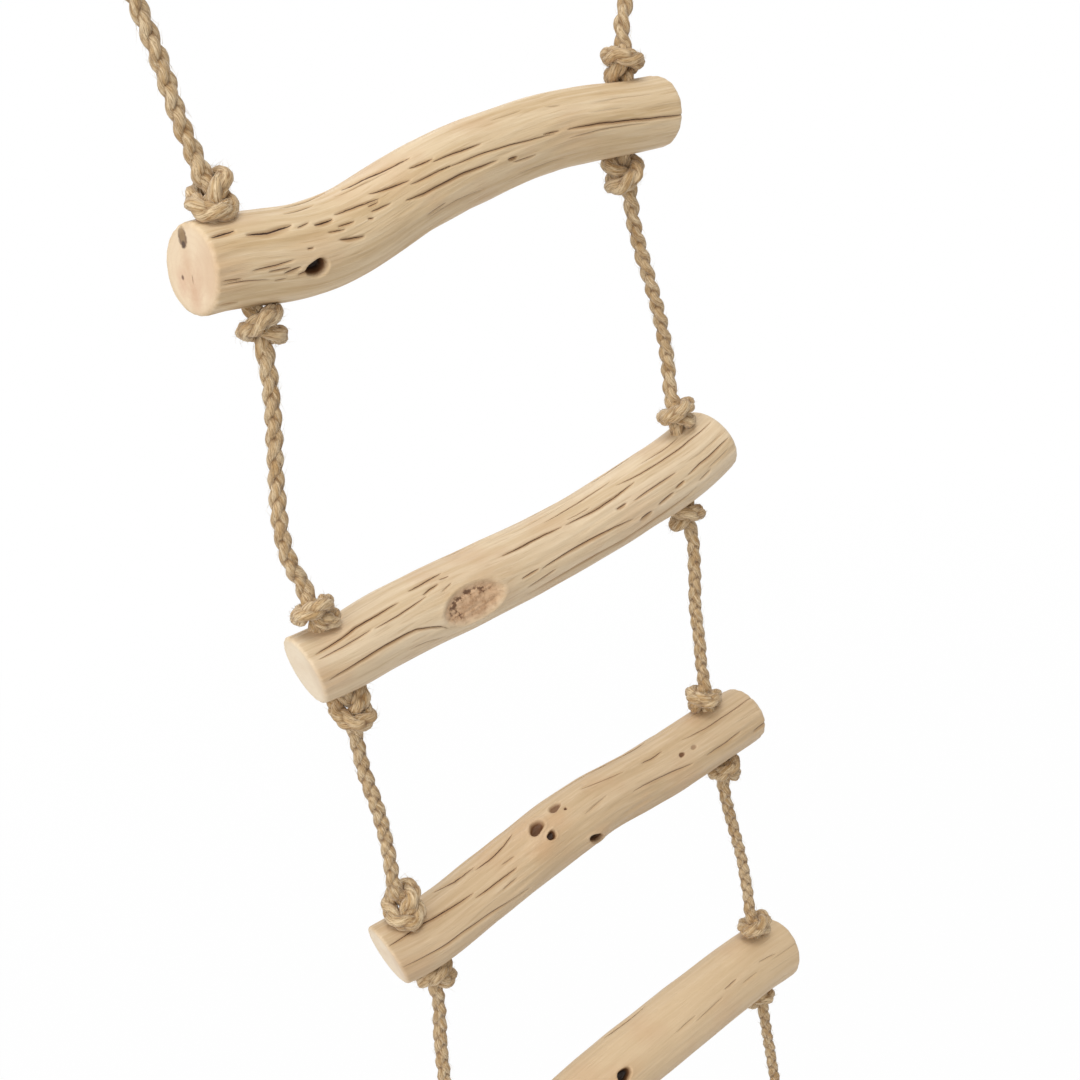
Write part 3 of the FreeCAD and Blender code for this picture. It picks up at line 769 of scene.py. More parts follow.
def ridges(x, angle, seed, count, low, high):
    """Long low ridges that follow the branch: a sum of waves, each with a whole number of
    ridges round the branch, so that it closes, and a slow lean along it."""
    rng = np.random.default_rng(seed)
    total = np.zeros_like(x)
    for _ in range(count):
        ridge_count = rng.integers(low, high)
        lean = rng.uniform(-1, 1) / 22.0
        slow = rng.uniform(0.01, 0.05)
        phase, shift = rng.uniform(0, 2 * math.pi, 2)
        total += np.cos(ridge_count * angle + lean * x * ridge_count ** 0.5 + phase) * (
            0.6 + 0.4 * np.cos(slow * x * 2 * math.pi + shift))
    return total / math.sqrt(count)


print("the ridges are up to", max(RIDGE_HEIGHT.values()), "mm times their waves")


# %% The grooves
def turned_by(angle, centre):
    """The angle from a centre, the short way round."""
    return (angle - centre + math.pi) % (2 * math.pi) - math.pi


def groove_profile(x, angle, radius, width, chain):
    """How deep in a groove each point is, from 0 to 1, with how far it is from the dark
    line at the groove's bottom and that line's half width, in mm. A groove is a lens: it
    is the widest in its middle. Its upper wall is steep and its lower one gentle."""
    chain = np.array(chain, dtype=float)
    low, high = chain[0, 0], chain[-1, 0]
    share = np.clip((x - low) / (high - low), 0, 1)
    centre = np.radians(np.interp(x, chain[:, 0], chain[:, 1]))
    across = turned_by(angle, centre) * radius + 0.05 * np.sin(0.5 * x + low)
    beyond = np.maximum(np.maximum(low - x, x - high), 0)
    taper = np.sqrt(4 * share * (1 - share))
    reach = 0.12 + 0.62 * width * (0.12 + 0.88 * taper)
    wall = np.where(across > 0, 0.10 + 0.35 * reach, reach)
    fade = np.exp(-(beyond / 0.35) ** 2) * taper ** 0.6
    on_groove = (x > low) & (x < high)
    line = np.where(on_groove, (0.07 + 0.10 * width) * taper ** 0.7, 0.0)
    return np.exp(-(across / wall) ** 2) * fade, across - 0.04, line


def seeded_grooves(seed, count, first_angle, last_angle, shortest, longest, lean, width):
    """Grooves for the sides that the photograph doesn't show: random places, lengths and
    small leans from a seeded generator."""
    rng = np.random.default_rng(seed)
    found = []
    for _ in range(count):
        length = rng.uniform(shortest, longest)
        x = rng.uniform(-84, 84 - length)
        angle = rng.uniform(first_angle, last_angle)
        slope = rng.normal(0, lean) * length
        middle = rng.normal(0, 1.5)
        chain = [(x, angle), (x + length / 2, angle + slope / 2 + middle), (x + length, angle + slope)]
        found.append((rng.uniform(0.7, 1.0) * width, rng.uniform(0.3, 0.6),
                      rng.uniform(0.5, 0.9), chain))
    return found


HIDDEN_GROOVES = {
    "top_rung": seeded_grooves(21, 34, 112, 290, 6, 26, 0.25, 1.1),
    "second_rung": seeded_grooves(22, 24, 105, 300, 14, 48, 0.12, 1.1),
    "third_rung": seeded_grooves(23, 20, 112, 310, 12, 40, 0.15, 1.3),
    "bottom_rung": seeded_grooves(24, 14, 110, 330, 10, 30, 0.12, 1.1),
}
print(sum(len(found) for found in HIDDEN_GROOVES.values()), "more grooves are seeded")


# %% Knot holes
def knot_heights(x, angle, radius, knot):
    """The pit of a knot hole with steep walls and a low raised rim, and its mask for the
    painted shade inside it.
    """
    place, turn, half_long, half_wide, lean, depth, rim, dark = knot
    lean = math.radians(lean)
    along = x - place
    across = turned_by(angle, math.radians(turn)) * radius
    major = along * math.cos(lean) + across * math.sin(lean)
    minor = across * math.cos(lean) - along * math.sin(lean)
    ragged = 1 + 0.07 * np.sin(3 * np.arctan2(minor, major) + place)
    reach = np.hypot(major / half_long, minor / half_wide) / ragged
    pit = 1 / (1 + np.exp(np.clip((reach - 1) * 14, -40, 40)))
    bead = np.exp(-((reach - 1.35) / 0.32) ** 2)
    return rim * bead - depth * pit, dark * pit


print("the deepest knot hole is", max(knot[5] for knots in KNOTS.values() for knot in knots), "mm")


# %% The scar of a side branch
SCAR_PLACE = -31.0          # its middle along the second branch, in mm
SCAR_TURN = 4.0             # and round it, in degrees
SCAR_COLLAR = (1.3, 19.0, 9.5)      # height, reach along and reach across, in mm
SCAR_CUT = (11.5, 5.9)      # half the length and half the width of the cut, in mm
SCAR_EDGE = (9.2, 4.9)      # the same for the line along which the cut is torn
TEAR_TURN = 2.3             # where it is torn most, in radians round the scar


def scar_heights(x, angle, radius):
    """The scar of the sawn-off side branch on the second rung: a swollen collar, a flat
    cut across it, and a rough heart with cracks round its middle."""
    along = x - SCAR_PLACE
    across = turned_by(angle, math.radians(SCAR_TURN)) * radius
    rise, long, wide = SCAR_COLLAR
    collar = rise * np.exp(-(along / long) ** 2 - (across / wide) ** 2)
    oval = np.hypot(along / SCAR_CUT[0], across / SCAR_CUT[1])
    flat = radius * (1 - np.cos(np.clip(across / radius, -1.2, 1.2)))
    inside = 1 / (1 + np.exp(np.clip((oval - 1) * 16, -40, 40)))
    lip = 0.35 * np.exp(-((oval - 1.12) / 0.12) ** 2)
    rough = 0.22 * np.sin(1.3 * along + 1.7 * np.sin(1.1 * across)) * np.sin(1.9 * across + 0.6 * along)
    heart = flat * 0.55 - 0.9 + rough - collar
    ring = np.hypot(along / SCAR_EDGE[0], across / SCAR_EDGE[1])
    turn = np.arctan2(across / SCAR_EDGE[1], along / SCAR_EDGE[0])
    tear = np.exp(-((ring - 0.82) / 0.24) ** 2) * (0.5 + 0.5 * np.cos(turn - TEAR_TURN)) * inside
    return collar + lip + inside * heart - 0.3 * tear, inside, tear


print("the scar is", 2 * SCAR_CUT[0], "mm long and", 2 * SCAR_CUT[1], "mm wide")


# %% [markdown]
# ## The rows of a branch
# A branch could be an extruded circle with caps, but its sawn faces and their sanded
# edges belong to the same skin. So one grid runs from the middle of one face, over its
# edge in a quarter circle, along the body and into the middle of the other face. Its
# points are closer together on the front side, where the finest cracks are seen.

# %% The rows of a branch
ALONG_POINTS = 330
AROUND_POINTS = 272
FRONT_ANGLE = 28.0          # the middle of the side that has the finest mesh
FRONT_SHARE = 0.5           # how much finer it is there
LEFT_EDGE = 1.2             # the radius of the sanded edges, in mm
RIGHT_EDGE = 2.6
FACE_ROWS = 9
EDGE_ROWS = 7
PROBE_POINTS = 400
NEXT_PLACE = 0.002          # the share of the length by which a tangent looks ahead


def profile_rows(length, radius_left, radius_right):
    """The rows of the grid as (distance along the branch, share of the radius): up one
    face, round its edge in a quarter circle, along, and down the other side."""
    face = np.linspace(0.06, 1.0, FACE_ROWS)
    quarter = np.linspace(0, math.pi / 2, EDGE_ROWS)
    body = np.linspace(LEFT_EDGE, length - RIGHT_EDGE, ALONG_POINTS)[1:-1]
    left_inner = 1 - LEFT_EDGE / radius_left
    right_inner = 1 - RIGHT_EDGE / radius_right
    along = np.concatenate([
        np.zeros(FACE_ROWS - 1), LEFT_EDGE * (1 - np.cos(quarter)), body,
        length - RIGHT_EDGE * (1 - np.cos(quarter[::-1])), np.full(FACE_ROWS - 1, length)])
    share = np.concatenate([
        face[:-1] * left_inner, left_inner + (1 - left_inner) * np.sin(quarter),
        np.ones(len(body)), right_inner + (1 - right_inner) * np.sin(quarter[::-1]),
        face[:-1][::-1] * right_inner])
    return along, share


def branch_frame(name):
    """For each row: the distance along the branch, the share of the radius, the centre,
    the radius, and the directions along the branch, to its front and up."""
    probe = branch_line(name, np.linspace(0, 1, PROBE_POINTS))
    length = length_along(probe[:, :3])[-1]
    along, share = profile_rows(length, probe[0, 3], probe[-1, 3])
    places = along / length
    values = branch_line(name, places)
    ahead = branch_line(name, np.clip(places + NEXT_PLACE, 0, 1))[:, :3]
    behind = branch_line(name, np.clip(places - NEXT_PLACE, 0, 1))[:, :3]
    tangent = ahead - behind
    tangent /= np.linalg.norm(tangent, axis=1)[:, None]
    side = np.cross(tangent, (0.0, 0.0, 1.0))
    side /= np.linalg.norm(side, axis=1)[:, None]
    return along, share, values[:, :3], values[:, 3], tangent, side, np.cross(side, tangent)


print("a branch's grid is", ALONG_POINTS + 2 * (FACE_ROWS + EDGE_ROWS) - 4, "rows of", AROUND_POINTS)


# %% [markdown]
# ## The relief of a branch
# The cracks could be painted on a plain tube, but a groove that is really sunk takes its
# own shadow from every side. The relief adds up all that moves the surface in or out.
# Each part of it also leaves numbers that the material reads. A crack's dark line, which
# is painted shade at the groove's bottom, is kept as the distance to its middle and its half
# width: both change evenly between the points of the mesh, so the line stays sharp where a
# line painted in an image would blur.

# %% The relief of a branch
FAR = 5.0                   # away from every crack, in mm
CRACK_REACH = 0.9           # how far from its middle a crack keeps its width, in mm
UNEVEN_HEIGHT = 0.22        # the slow swelling and thinning of the wood, in mm


def groove_layers(name, x, angle, girth):
    """How deep all grooves are together, and what the material reads for its painted shade:
    the hollow, and the nearest dark line's distance, half width and darkness."""
    sunk, hollow, dark_line = np.zeros_like(x), np.zeros_like(x), np.zeros_like(x)
    nearest, half_width = np.full_like(x, FAR), np.zeros_like(x)
    for width, depth, dark, chain in GROOVES[name] + HIDDEN_GROOVES[name]:
        profile, away, wide = groove_profile(x, angle, girth, width, chain)
        sunk += depth * profile
        hollow = np.maximum(hollow, dark * profile)
        nearer = (np.abs(away) < np.abs(nearest)) & (wide > 0)
        nearest = np.where(nearer, away, nearest)
        half_width = np.where(nearer, wide * (np.abs(away) < CRACK_REACH), half_width)
        dark_line = np.where(nearer, dark, dark_line)
    return sunk, {"hollow": hollow, "crack_away": nearest, "crack_wide": half_width,
                  "crack_dark": dark_line}


def grown_layers(name, x, angle, girth):
    """How far swellings, knot holes and the scar move the surface, and their masks. A
    swelling is a bell: its rise times exp(-(along/half length)^2 - (across/half width)^2)."""
    height, swell, pit = np.zeros_like(x), np.zeros_like(x), np.zeros_like(x)
    heart, tear = np.zeros_like(x), np.zeros_like(x)
    for place, turn, half_long, half_wide, rise in SWELLS[name]:
        across = turned_by(angle, math.radians(turn)) * girth
        bump = np.exp(-((x - place) / half_long) ** 2 - (across / half_wide) ** 2)
        height += rise * bump
        swell = np.maximum(swell, bump)
    for knot in KNOTS[name]:
        change, mask = knot_heights(x, angle, girth, knot)
        height += change
        pit = np.maximum(pit, mask)
    if name == "second_rung":
        change, heart, tear = scar_heights(x, angle, girth)
        height += change
    return height, {"swell": swell, "pit": pit, "heart": heart, "tear": tear}


def relief(name, number, x, angle, girth):
    """The height of the surface over the plain tube, in mm, and all its layers."""
    ribs = RIDGE_HEIGHT[name] * ridges(x, angle, number * 10 + 1, 9, 5, 26)
    swing = UNEVEN_HEIGHT * ridges(x, angle, number * 10 + 2, 5, 1, 5)
    sunk, layers = groove_layers(name, x, angle, girth)
    grown, masks = grown_layers(name, x, angle, girth)
    return ribs + swing - sunk + grown, {**layers, **masks}


print("each branch stores the layers hollow, crack, swell, pit, heart, tear and face")


# %% [markdown]
# ## Building a branch
# The branches could be the CAD solids with a modifier, but those have no grid to carve.
# So each one is built anew on the same line and stands in for its solid. The left faces
# were sawn at a slant. They lean by a few degrees, and the lean fades along the branch.

# %% Building a branch
# How far the left face's front, and then its top, leans out, in degrees.
SLANT = {"top_rung": (-3, -4), "second_rung": (5, 13), "third_rung": (8, 20),
         "bottom_rung": (4, 3)}
SLANT_FADE = 7.0            # how far the lean reaches along the branch, in mm
BODY_LAYERS = ("hollow", "crack_wide", "swell")
FACE_START = 0.15           # the share of the radius over which the body's skin ends


def make_branch(name, number):
    """One branch as a closed mesh. Each point is centre + side x cos(angle) x reach
    + up x sin(angle) x reach, where reach is the girth, out of round, with its relief."""
    along, share, centre, radius, tangent, side, up = branch_frame(name)
    rows = len(along)
    even = np.linspace(-math.pi, math.pi, AROUND_POINTS, endpoint=False)
    around = math.radians(FRONT_ANGLE) + even - FRONT_SHARE * np.sin(even)
    x = np.repeat(centre[:, :1], AROUND_POINTS, axis=1)
    angle = np.repeat(around[None, :], rows, axis=0)
    girth = np.repeat(radius[:, None], AROUND_POINTS, axis=1)
    height, layers = relief(name, number, x, angle, girth)

    oval, oval_turn, lobe, lobe_turn = STATIONS[name][4]
    reach = girth * (1 + oval * np.cos(2 * (angle - oval_turn))
                     + lobe * np.cos(3 * (angle - lobe_turn)))
    body = share[:, None] ** 3
    reach = (reach + height * body) * share[:, None]
    points = (centre[:, None] + side[:, None] * (np.cos(angle) * reach)[..., None]
              + up[:, None] * (np.sin(angle) * reach)[..., None])
    front, top = np.tan(np.radians(SLANT[name]))
    near_left = np.exp(-(along / SLANT_FADE) ** 2)[:, None]
    lean = front * np.cos(angle) + top * np.sin(angle)
    points -= tangent[:, None] * (near_left * lean * reach)[..., None]

    poles = np.array([points[0].mean(axis=0), points[-1].mean(axis=0)])
    first_pole = rows * AROUND_POINTS
    triangles = np.vstack([
        fan_faces(np.arange(AROUND_POINTS), first_pole, True),
        fan_faces(np.arange(first_pole - AROUND_POINTS, first_pole), first_pole + 1, False)])
    piece = new_piece(name + "_wood", np.vstack([points.reshape(-1, 3), poles]) * MM,
                      grid_faces(rows, AROUND_POINTS), triangles)

    grain = np.stack([np.cos(angle) * reach, np.sin(angle) * reach, x], axis=-1).reshape(-1, 3)
    pole_grain = np.array([(0, 0, x[0, 0]), (0, 0, x[-1, 0])])
    give_numbers(piece, "grain", np.vstack([grain, pole_grain]) * MM)
    for layer in BODY_LAYERS:
        layers[layer] = layers[layer] * body
    for layer, field in layers.items():
        give_numbers(piece, layer, np.append(field.ravel(), (0.0, 0.0)))
    face = np.clip((1 - share) / FACE_START, 0, 1) ** 0.7
    face = np.repeat(face[:, None], AROUND_POINTS, axis=1)
    give_numbers(piece, "face", np.append(face.ravel(), (1.0, 1.0)))
    print(name, "has", len(piece.data.polygons), "faces")
    return piece


RUNG_NAMES = ["top_rung", "second_rung", "third_rung", "bottom_rung"]
branches = {name: make_branch(name, number) for number, name in enumerate(RUNG_NAMES)}


# %% [markdown]
# ## Small helpers for shader nodes
# A material is a tree of nodes. These helpers add a node with its values, or one common
# step, and give back its output, so that a material reads from top to bottom. Colours
# are written as they look on a screen and turned into the linear values of a shader.

# %% Small helpers for shader nodes
def linear(red, green, blue):
    """A colour from its screen values, 0 to 255, as the linear values that shaders use."""
    screen = np.array([red, green, blue]) / 255
    value = np.where(screen <= 0.04045, screen / 12.92, ((screen + 0.055) / 1.055) ** 2.4)
    return (*[float(v) for v in value], 1.0)


def add_node(tree, kind, inputs=None, **settings):
    """A node with its settings and its input values."""
    node = tree.nodes.new(kind)
    for key, value in settings.items():
        setattr(node, key, value)
    for key, value in (inputs or {}).items():
        node.inputs[key].default_value = value
    return node


def join(tree, value, socket):
    """Links an output to a socket, or writes a plain value into it."""
    if isinstance(value, bpy.types.NodeSocket):
        tree.links.new(value, socket)
    else:
        socket.default_value = value


def mix_colour(tree, first, second, factor):
    """Two colours, or outputs, mixed by a factor, or an output."""
    node = add_node(tree, "ShaderNodeMix", data_type="RGBA")
    join(tree, first, node.inputs[6])
    join(tree, second, node.inputs[7])
    join(tree, factor, node.inputs[0])
    return node.outputs[2]


def calculate(tree, operation, first, second=0.0):
    """One arithmetic step on numbers or outputs."""
    node = add_node(tree, "ShaderNodeMath", operation=operation)
    join(tree, first, node.inputs[0])
    join(tree, second, node.inputs[1])
    return node.outputs[0]


def rescale(tree, value, low, high, new_low=0.0, new_high=1.0):
    """A value brought from one range into another, and held there."""
    node = add_node(tree, "ShaderNodeMapRange", {"From Min": low, "From Max": high,
                                                 "To Min": new_low, "To Max": new_high})
    tree.links.new(value, node.inputs["Value"])
    return node.outputs["Result"]


def speckle(tree, place, scale, detail, roughness=0.5):
    """Noise from 0 to 1 over a place, with about as many spots to a metre as the scale."""
    node = add_node(tree, "ShaderNodeTexNoise", {"Scale": scale, "Detail": detail,
                                                 "Roughness": roughness})
    tree.links.new(place, node.inputs["Vector"])
    return node.outputs["Fac"]


def attribute(tree, name, kind="Fac"):
    """What a mesh stores for its points under a name."""
    return add_node(tree, "ShaderNodeAttribute", attribute_name=name).outputs[kind]


def new_material(name, roughness):
    """An empty material with its Principled shader."""
    material = bpy.data.materials.new(name)
    material.use_nodes = True
    shader = material.node_tree.nodes["Principled BSDF"]
    shader.inputs["Roughness"].default_value = roughness
    return material, material.node_tree, shader


def new_group(name, inputs, outputs):
    """An empty node group with named sockets, and its two end nodes."""
    tree = bpy.data.node_groups.new(name, "ShaderNodeTree")
    for in_out, sockets in (("INPUT", inputs), ("OUTPUT", outputs)):
        for socket, kind in sockets.items():
            tree.interface.new_socket(socket, in_out=in_out, socket_type="NodeSocket" + kind)
    return tree, add_node(tree, "NodeGroupInput"), add_node(tree, "NodeGroupOutput")


print("cream wood in linear values:", [round(v, 3) for v in linear(218, 194, 158)])


# %% [markdown]
# ## The fibre group
# Wood and jute are both bundles of fibres. A photograph of wood would need an image, so
# the fibres are noise stretched along the third coordinate, coarse and fine. The group
# is built once, and each material places it with its own sizes.

# %% The fibre group
def fibre_group():
    """Fibres along the third coordinate, with inputs for their scale and stretch."""
    tree, start, end = new_group(
        "fibres", {"Place": "Vector", "Scale": "Float", "Stretch": "Float"},
        {"Coarse": "Float", "Fine": "Float"})
    parts = add_node(tree, "ShaderNodeSeparateXYZ")
    tree.links.new(start.outputs["Place"], parts.inputs[0])
    shrunk = calculate(tree, "MULTIPLY", parts.outputs["Z"], start.outputs["Stretch"])
    joined = add_node(tree, "ShaderNodeCombineXYZ")
    tree.links.new(parts.outputs["X"], joined.inputs["X"])
    tree.links.new(parts.outputs["Y"], joined.inputs["Y"])
    tree.links.new(shrunk, joined.inputs["Z"])
    for name, factor, detail in (("Coarse", 1.0, 3.0), ("Fine", 4.5, 2.0)):
        noise = add_node(tree, "ShaderNodeTexNoise", {"Detail": detail, "Roughness": 0.6})
        tree.links.new(joined.outputs[0], noise.inputs["Vector"])
        scale = calculate(tree, "MULTIPLY", start.outputs["Scale"], factor)
        tree.links.new(scale, noise.inputs["Scale"])
        tree.links.new(noise.outputs["Fac"], end.inputs[name])
    return tree


FIBRES = fibre_group()


def fibres(tree, place, scale, stretch):
    """The fibre group placed in a material."""
    node = add_node(tree, "ShaderNodeGroup", node_tree=FIBRES)
    node.inputs["Scale"].default_value = scale
    node.inputs["Stretch"].default_value = stretch
    tree.links.new(place, node.inputs["Place"])
    return node.outputs["Coarse"], node.outputs["Fine"]


print("the fibre group has", len(FIBRES.nodes), "nodes")


# %% [markdown]
# ## The crack group
# A drying crack is a dark line that is a little ragged: painted shade in its narrow gap.
# The mesh stores how far each point is from the line and how wide the line is. The group
# compares the two for every pixel, after it has moved the line a little by noise.

# %% The crack group
CRACK_SOFTNESS = 0.1        # how wide the line's soft edge is, in mm
CRACK_WANDER = 0.5          # how far noise moves the line, in mm


def crack_group():
    """The line is 1 where half width - |distance + wander| is above 0, times its
    darkness; faint lines fade out and dark ones fill up."""
    tree, start, end = new_group(
        "crack", {"Away": "Float", "Half Width": "Float", "Darkness": "Float", "Noise": "Float"},
        {"Line": "Float"})
    centred = calculate(tree, "SUBTRACT", start.outputs["Noise"], 0.5)
    wander = calculate(tree, "MULTIPLY", centred, CRACK_WANDER)
    away = calculate(tree, "ADD", start.outputs["Away"], wander)
    inside = calculate(tree, "SUBTRACT", start.outputs["Half Width"],
                       calculate(tree, "ABSOLUTE", away))
    line = calculate(tree, "MULTIPLY", rescale(tree, inside, 0.0, CRACK_SOFTNESS),
                     start.outputs["Darkness"])
    tree.links.new(rescale(tree, line, 0.15, 0.65), end.inputs["Line"])
    return tree


CRACK = crack_group()


def crack_line(tree, noise):
    """The crack group placed in a material, with what the mesh stores."""
    node = add_node(tree, "ShaderNodeGroup", node_tree=CRACK)
    for socket, layer in (("Away", "crack_away"), ("Half Width", "crack_wide"),
                          ("Darkness", "crack_dark")):
        tree.links.new(attribute(tree, layer), node.inputs[socket])
    tree.links.new(noise, node.inputs["Noise"])
    return node.outputs["Line"]


print("the crack group has", len(CRACK.nodes), "nodes")


# %% [markdown]
# ## The spot group
# The sawn end of the top branch shows a small knot and pinkish marks. Modelled dents
# would be too deep for them, so each is a soft round spot with a ragged edge.

# %% The spot group
def spot_group():
    """1 inside the half sizes and 0 outside: the distance from the centre in half sizes,
    plus some noise, is compared with 1."""
    tree, start, end = new_group(
        "spot", {"Place": "Vector", "Centre": "Vector", "Closeness": "Vector", "Softness": "Float"},
        {"Mask": "Float"})
    away = add_node(tree, "ShaderNodeVectorMath", operation="SUBTRACT")
    tree.links.new(start.outputs["Place"], away.inputs[0])
    tree.links.new(start.outputs["Centre"], away.inputs[1])
    sized = add_node(tree, "ShaderNodeVectorMath", operation="MULTIPLY")
    tree.links.new(away.outputs[0], sized.inputs[0])
    tree.links.new(start.outputs["Closeness"], sized.inputs[1])
    length = add_node(tree, "ShaderNodeVectorMath", operation="LENGTH")
    tree.links.new(sized.outputs[0], length.inputs[0])
    centred = calculate(tree, "SUBTRACT", speckle(tree, start.outputs["Place"], 900.0, 2.0), 0.5)
    reach = calculate(tree, "ADD", length.outputs["Value"], calculate(tree, "MULTIPLY", centred, 0.7))
    soft = add_node(tree, "ShaderNodeMapRange", {"To Min": 1.0, "To Max": 0.0})
    tree.links.new(reach, soft.inputs["Value"])
    inner = calculate(tree, "SUBTRACT", 1.0, start.outputs["Softness"])
    outer = calculate(tree, "ADD", 1.0, start.outputs["Softness"])
    tree.links.new(inner, soft.inputs["From Min"])
    tree.links.new(outer, soft.inputs["From Max"])
    tree.links.new(soft.outputs["Result"], end.inputs["Mask"])
    return tree


SPOT = spot_group()


def spot(tree, place, centre, half_sizes, softness):
    """The spot group placed in a material; centre and half sizes in millimetres."""
    node = add_node(tree, "ShaderNodeGroup", node_tree=SPOT)
    node.inputs["Centre"].default_value = [v * MM for v in centre]
    node.inputs["Closeness"].default_value = [1 / (v * MM) for v in half_sizes]
    node.inputs["Softness"].default_value = softness
    tree.links.new(place, node.inputs["Place"])
    return node.outputs["Mask"]


print("the spot group has", len(SPOT.nodes), "nodes")


# %% [markdown]
# ## The wood
# Peeled and sanded softwood: cream where the light sapwood shows, tan streaks along the
# grain, and painted shade: brown in the grooves and cracks, almost black in the knot holes.
# The sawn faces are paler, with faint year rings round the pith. One picture wrapped round
# all four would look the same on each, so one function makes each branch's material with
# that branch's own tones.

# %% The tones of the wood
WOOD_TONES = {
    "top_rung": (linear(218, 194, 158), linear(198, 169, 127)),
    "second_rung": (linear(222, 200, 168), linear(202, 175, 137)),
    "third_rung": (linear(208, 182, 147), linear(188, 160, 122)),
    "bottom_rung": (linear(216, 190, 154), linear(196, 167, 127)),
}
# How strongly the grain shows: the lower branches are plainer.
GRAIN_SHARE = {"top_rung": 1.0, "second_rung": 0.9, "third_rung": 0.75, "bottom_rung": 0.4}
FACE_TONES = {
    "top_rung": (linear(226, 203, 172), linear(210, 178, 146)),
    "second_rung": (linear(232, 214, 187), linear(216, 192, 162)),
    "third_rung": (linear(230, 210, 182), linear(212, 186, 156)),
    "bottom_rung": (linear(226, 202, 170), linear(208, 178, 144)),
}
DARK_STREAK = linear(168, 132, 88)
LIGHT_STREAK = linear(238, 220, 190)
WARM_PATCH = linear(198, 160, 122)
SWOLLEN = linear(196, 150, 104)
HEART = (linear(208, 171, 134), linear(168, 124, 86))
TORN = linear(86, 52, 26)
# Painted shade: brown over the hollow of each groove, and the dark line in each crack.
GROOVE_SHADE = linear(156, 112, 66)
CRACK_SHADE = linear(54, 30, 12)
# Painted shade inside the knot holes: brown near their edge, almost black deeper in.
PIT_SHADE = (linear(120, 80, 46), linear(36, 20, 10))

# Marks on the left sawn face of the top branch: (towards the front, up), half sizes,
# softness, colour and strength.
FACE_MARKS = [
    ((0.6, -6.4), (2.4, 4.4), 0.7, linear(196, 148, 116), 0.5),
    ((-1.6, 0.8), (2.0, 5.2), 0.8, linear(202, 160, 126), 0.45),
    ((3.6, -1.2), (1.6, 4.0), 0.7, linear(204, 164, 132), 0.4),
    ((-5.0, -3.6), (2.0, 3.2), 0.6, linear(206, 160, 130), 0.45),
    ((-4.6, -2.2), (0.6, 0.6), 0.4, linear(92, 58, 44), 0.85),
    ((0.2, -2.3), (0.25, 1.1), 0.4, linear(124, 84, 62), 0.55),
    ((-2.2, 8.4), (2.0, 2.7), 0.16, linear(112, 84, 60), 0.9),
    ((-2.2, 8.9), (1.3, 1.7), 0.16, linear(144, 118, 84), 0.9),
    ((-2.1, 6.6), (0.8, 1.0), 0.2, linear(70, 50, 36), 0.85),
]
FACE_PLACE = -87.0          # where the marked face is along the branch, in mm
MARK_DEPTH = 400.0          # so long a mark reaches through the face at any slant
print(len(FACE_MARKS), "marks lie on the sawn end of the top branch")


# %% The colours of the wood
def skin_colour(tree, name, coarse, fine, patches):
    """The peeled surface: two tones by the coarse fibres, then dark and light streaks by
    the fine ones, then warm patches."""
    pale, tan = WOOD_TONES[name]
    shown = GRAIN_SHARE[name]
    tone = rescale(tree, coarse, 0.38, 0.70, 0.4 * (1 - shown), 0.4 + 0.6 * shown)
    colour = mix_colour(tree, pale, tan, tone)
    colour = mix_colour(tree, colour, DARK_STREAK, rescale(tree, fine, 0.58, 0.68, 0.0, 0.3 * shown))
    colour = mix_colour(tree, colour, LIGHT_STREAK, rescale(tree, fine, 0.44, 0.34, 0.0, 0.2 * shown))
    return mix_colour(tree, colour, WARM_PATCH, rescale(tree, patches, 0.5, 0.72, 0.0, 0.35))


def sawn_colour(tree, name, grain, patches):
    """The sawn faces: faint rings round the pith and patches, with the marks of the top
    branch on its left face only."""
    pale, tone = FACE_TONES[name]
    rings = add_node(tree, "ShaderNodeTexWave",
                     {"Scale": 150.0, "Distortion": 5.0, "Detail": 3.0, "Detail Scale": 1.4},
                     wave_type="RINGS", rings_direction="Z")
    tree.links.new(grain, rings.inputs["Vector"])
    colour = mix_colour(tree, pale, tone, rescale(tree, rings.outputs["Fac"], 0.5, 1.0, 0.0, 0.14))
    colour = mix_colour(tree, colour, tone, rescale(tree, patches, 0.42, 0.62, 0.0, 0.7))
    if name != "top_rung":
        return colour
    parts = add_node(tree, "ShaderNodeSeparateXYZ")
    tree.links.new(grain, parts.inputs[0])
    left = calculate(tree, "LESS_THAN", parts.outputs["Z"], 0.0)
    for (front, up), (half_front, half_up), softness, mark_tone, strength in FACE_MARKS:
        mark = spot(tree, grain, (front, up, FACE_PLACE), (half_front, half_up, MARK_DEPTH), softness)
        mark = calculate(tree, "MULTIPLY", calculate(tree, "MULTIPLY", mark, left), strength)
        colour = mix_colour(tree, colour, mark_tone, mark)
    return colour


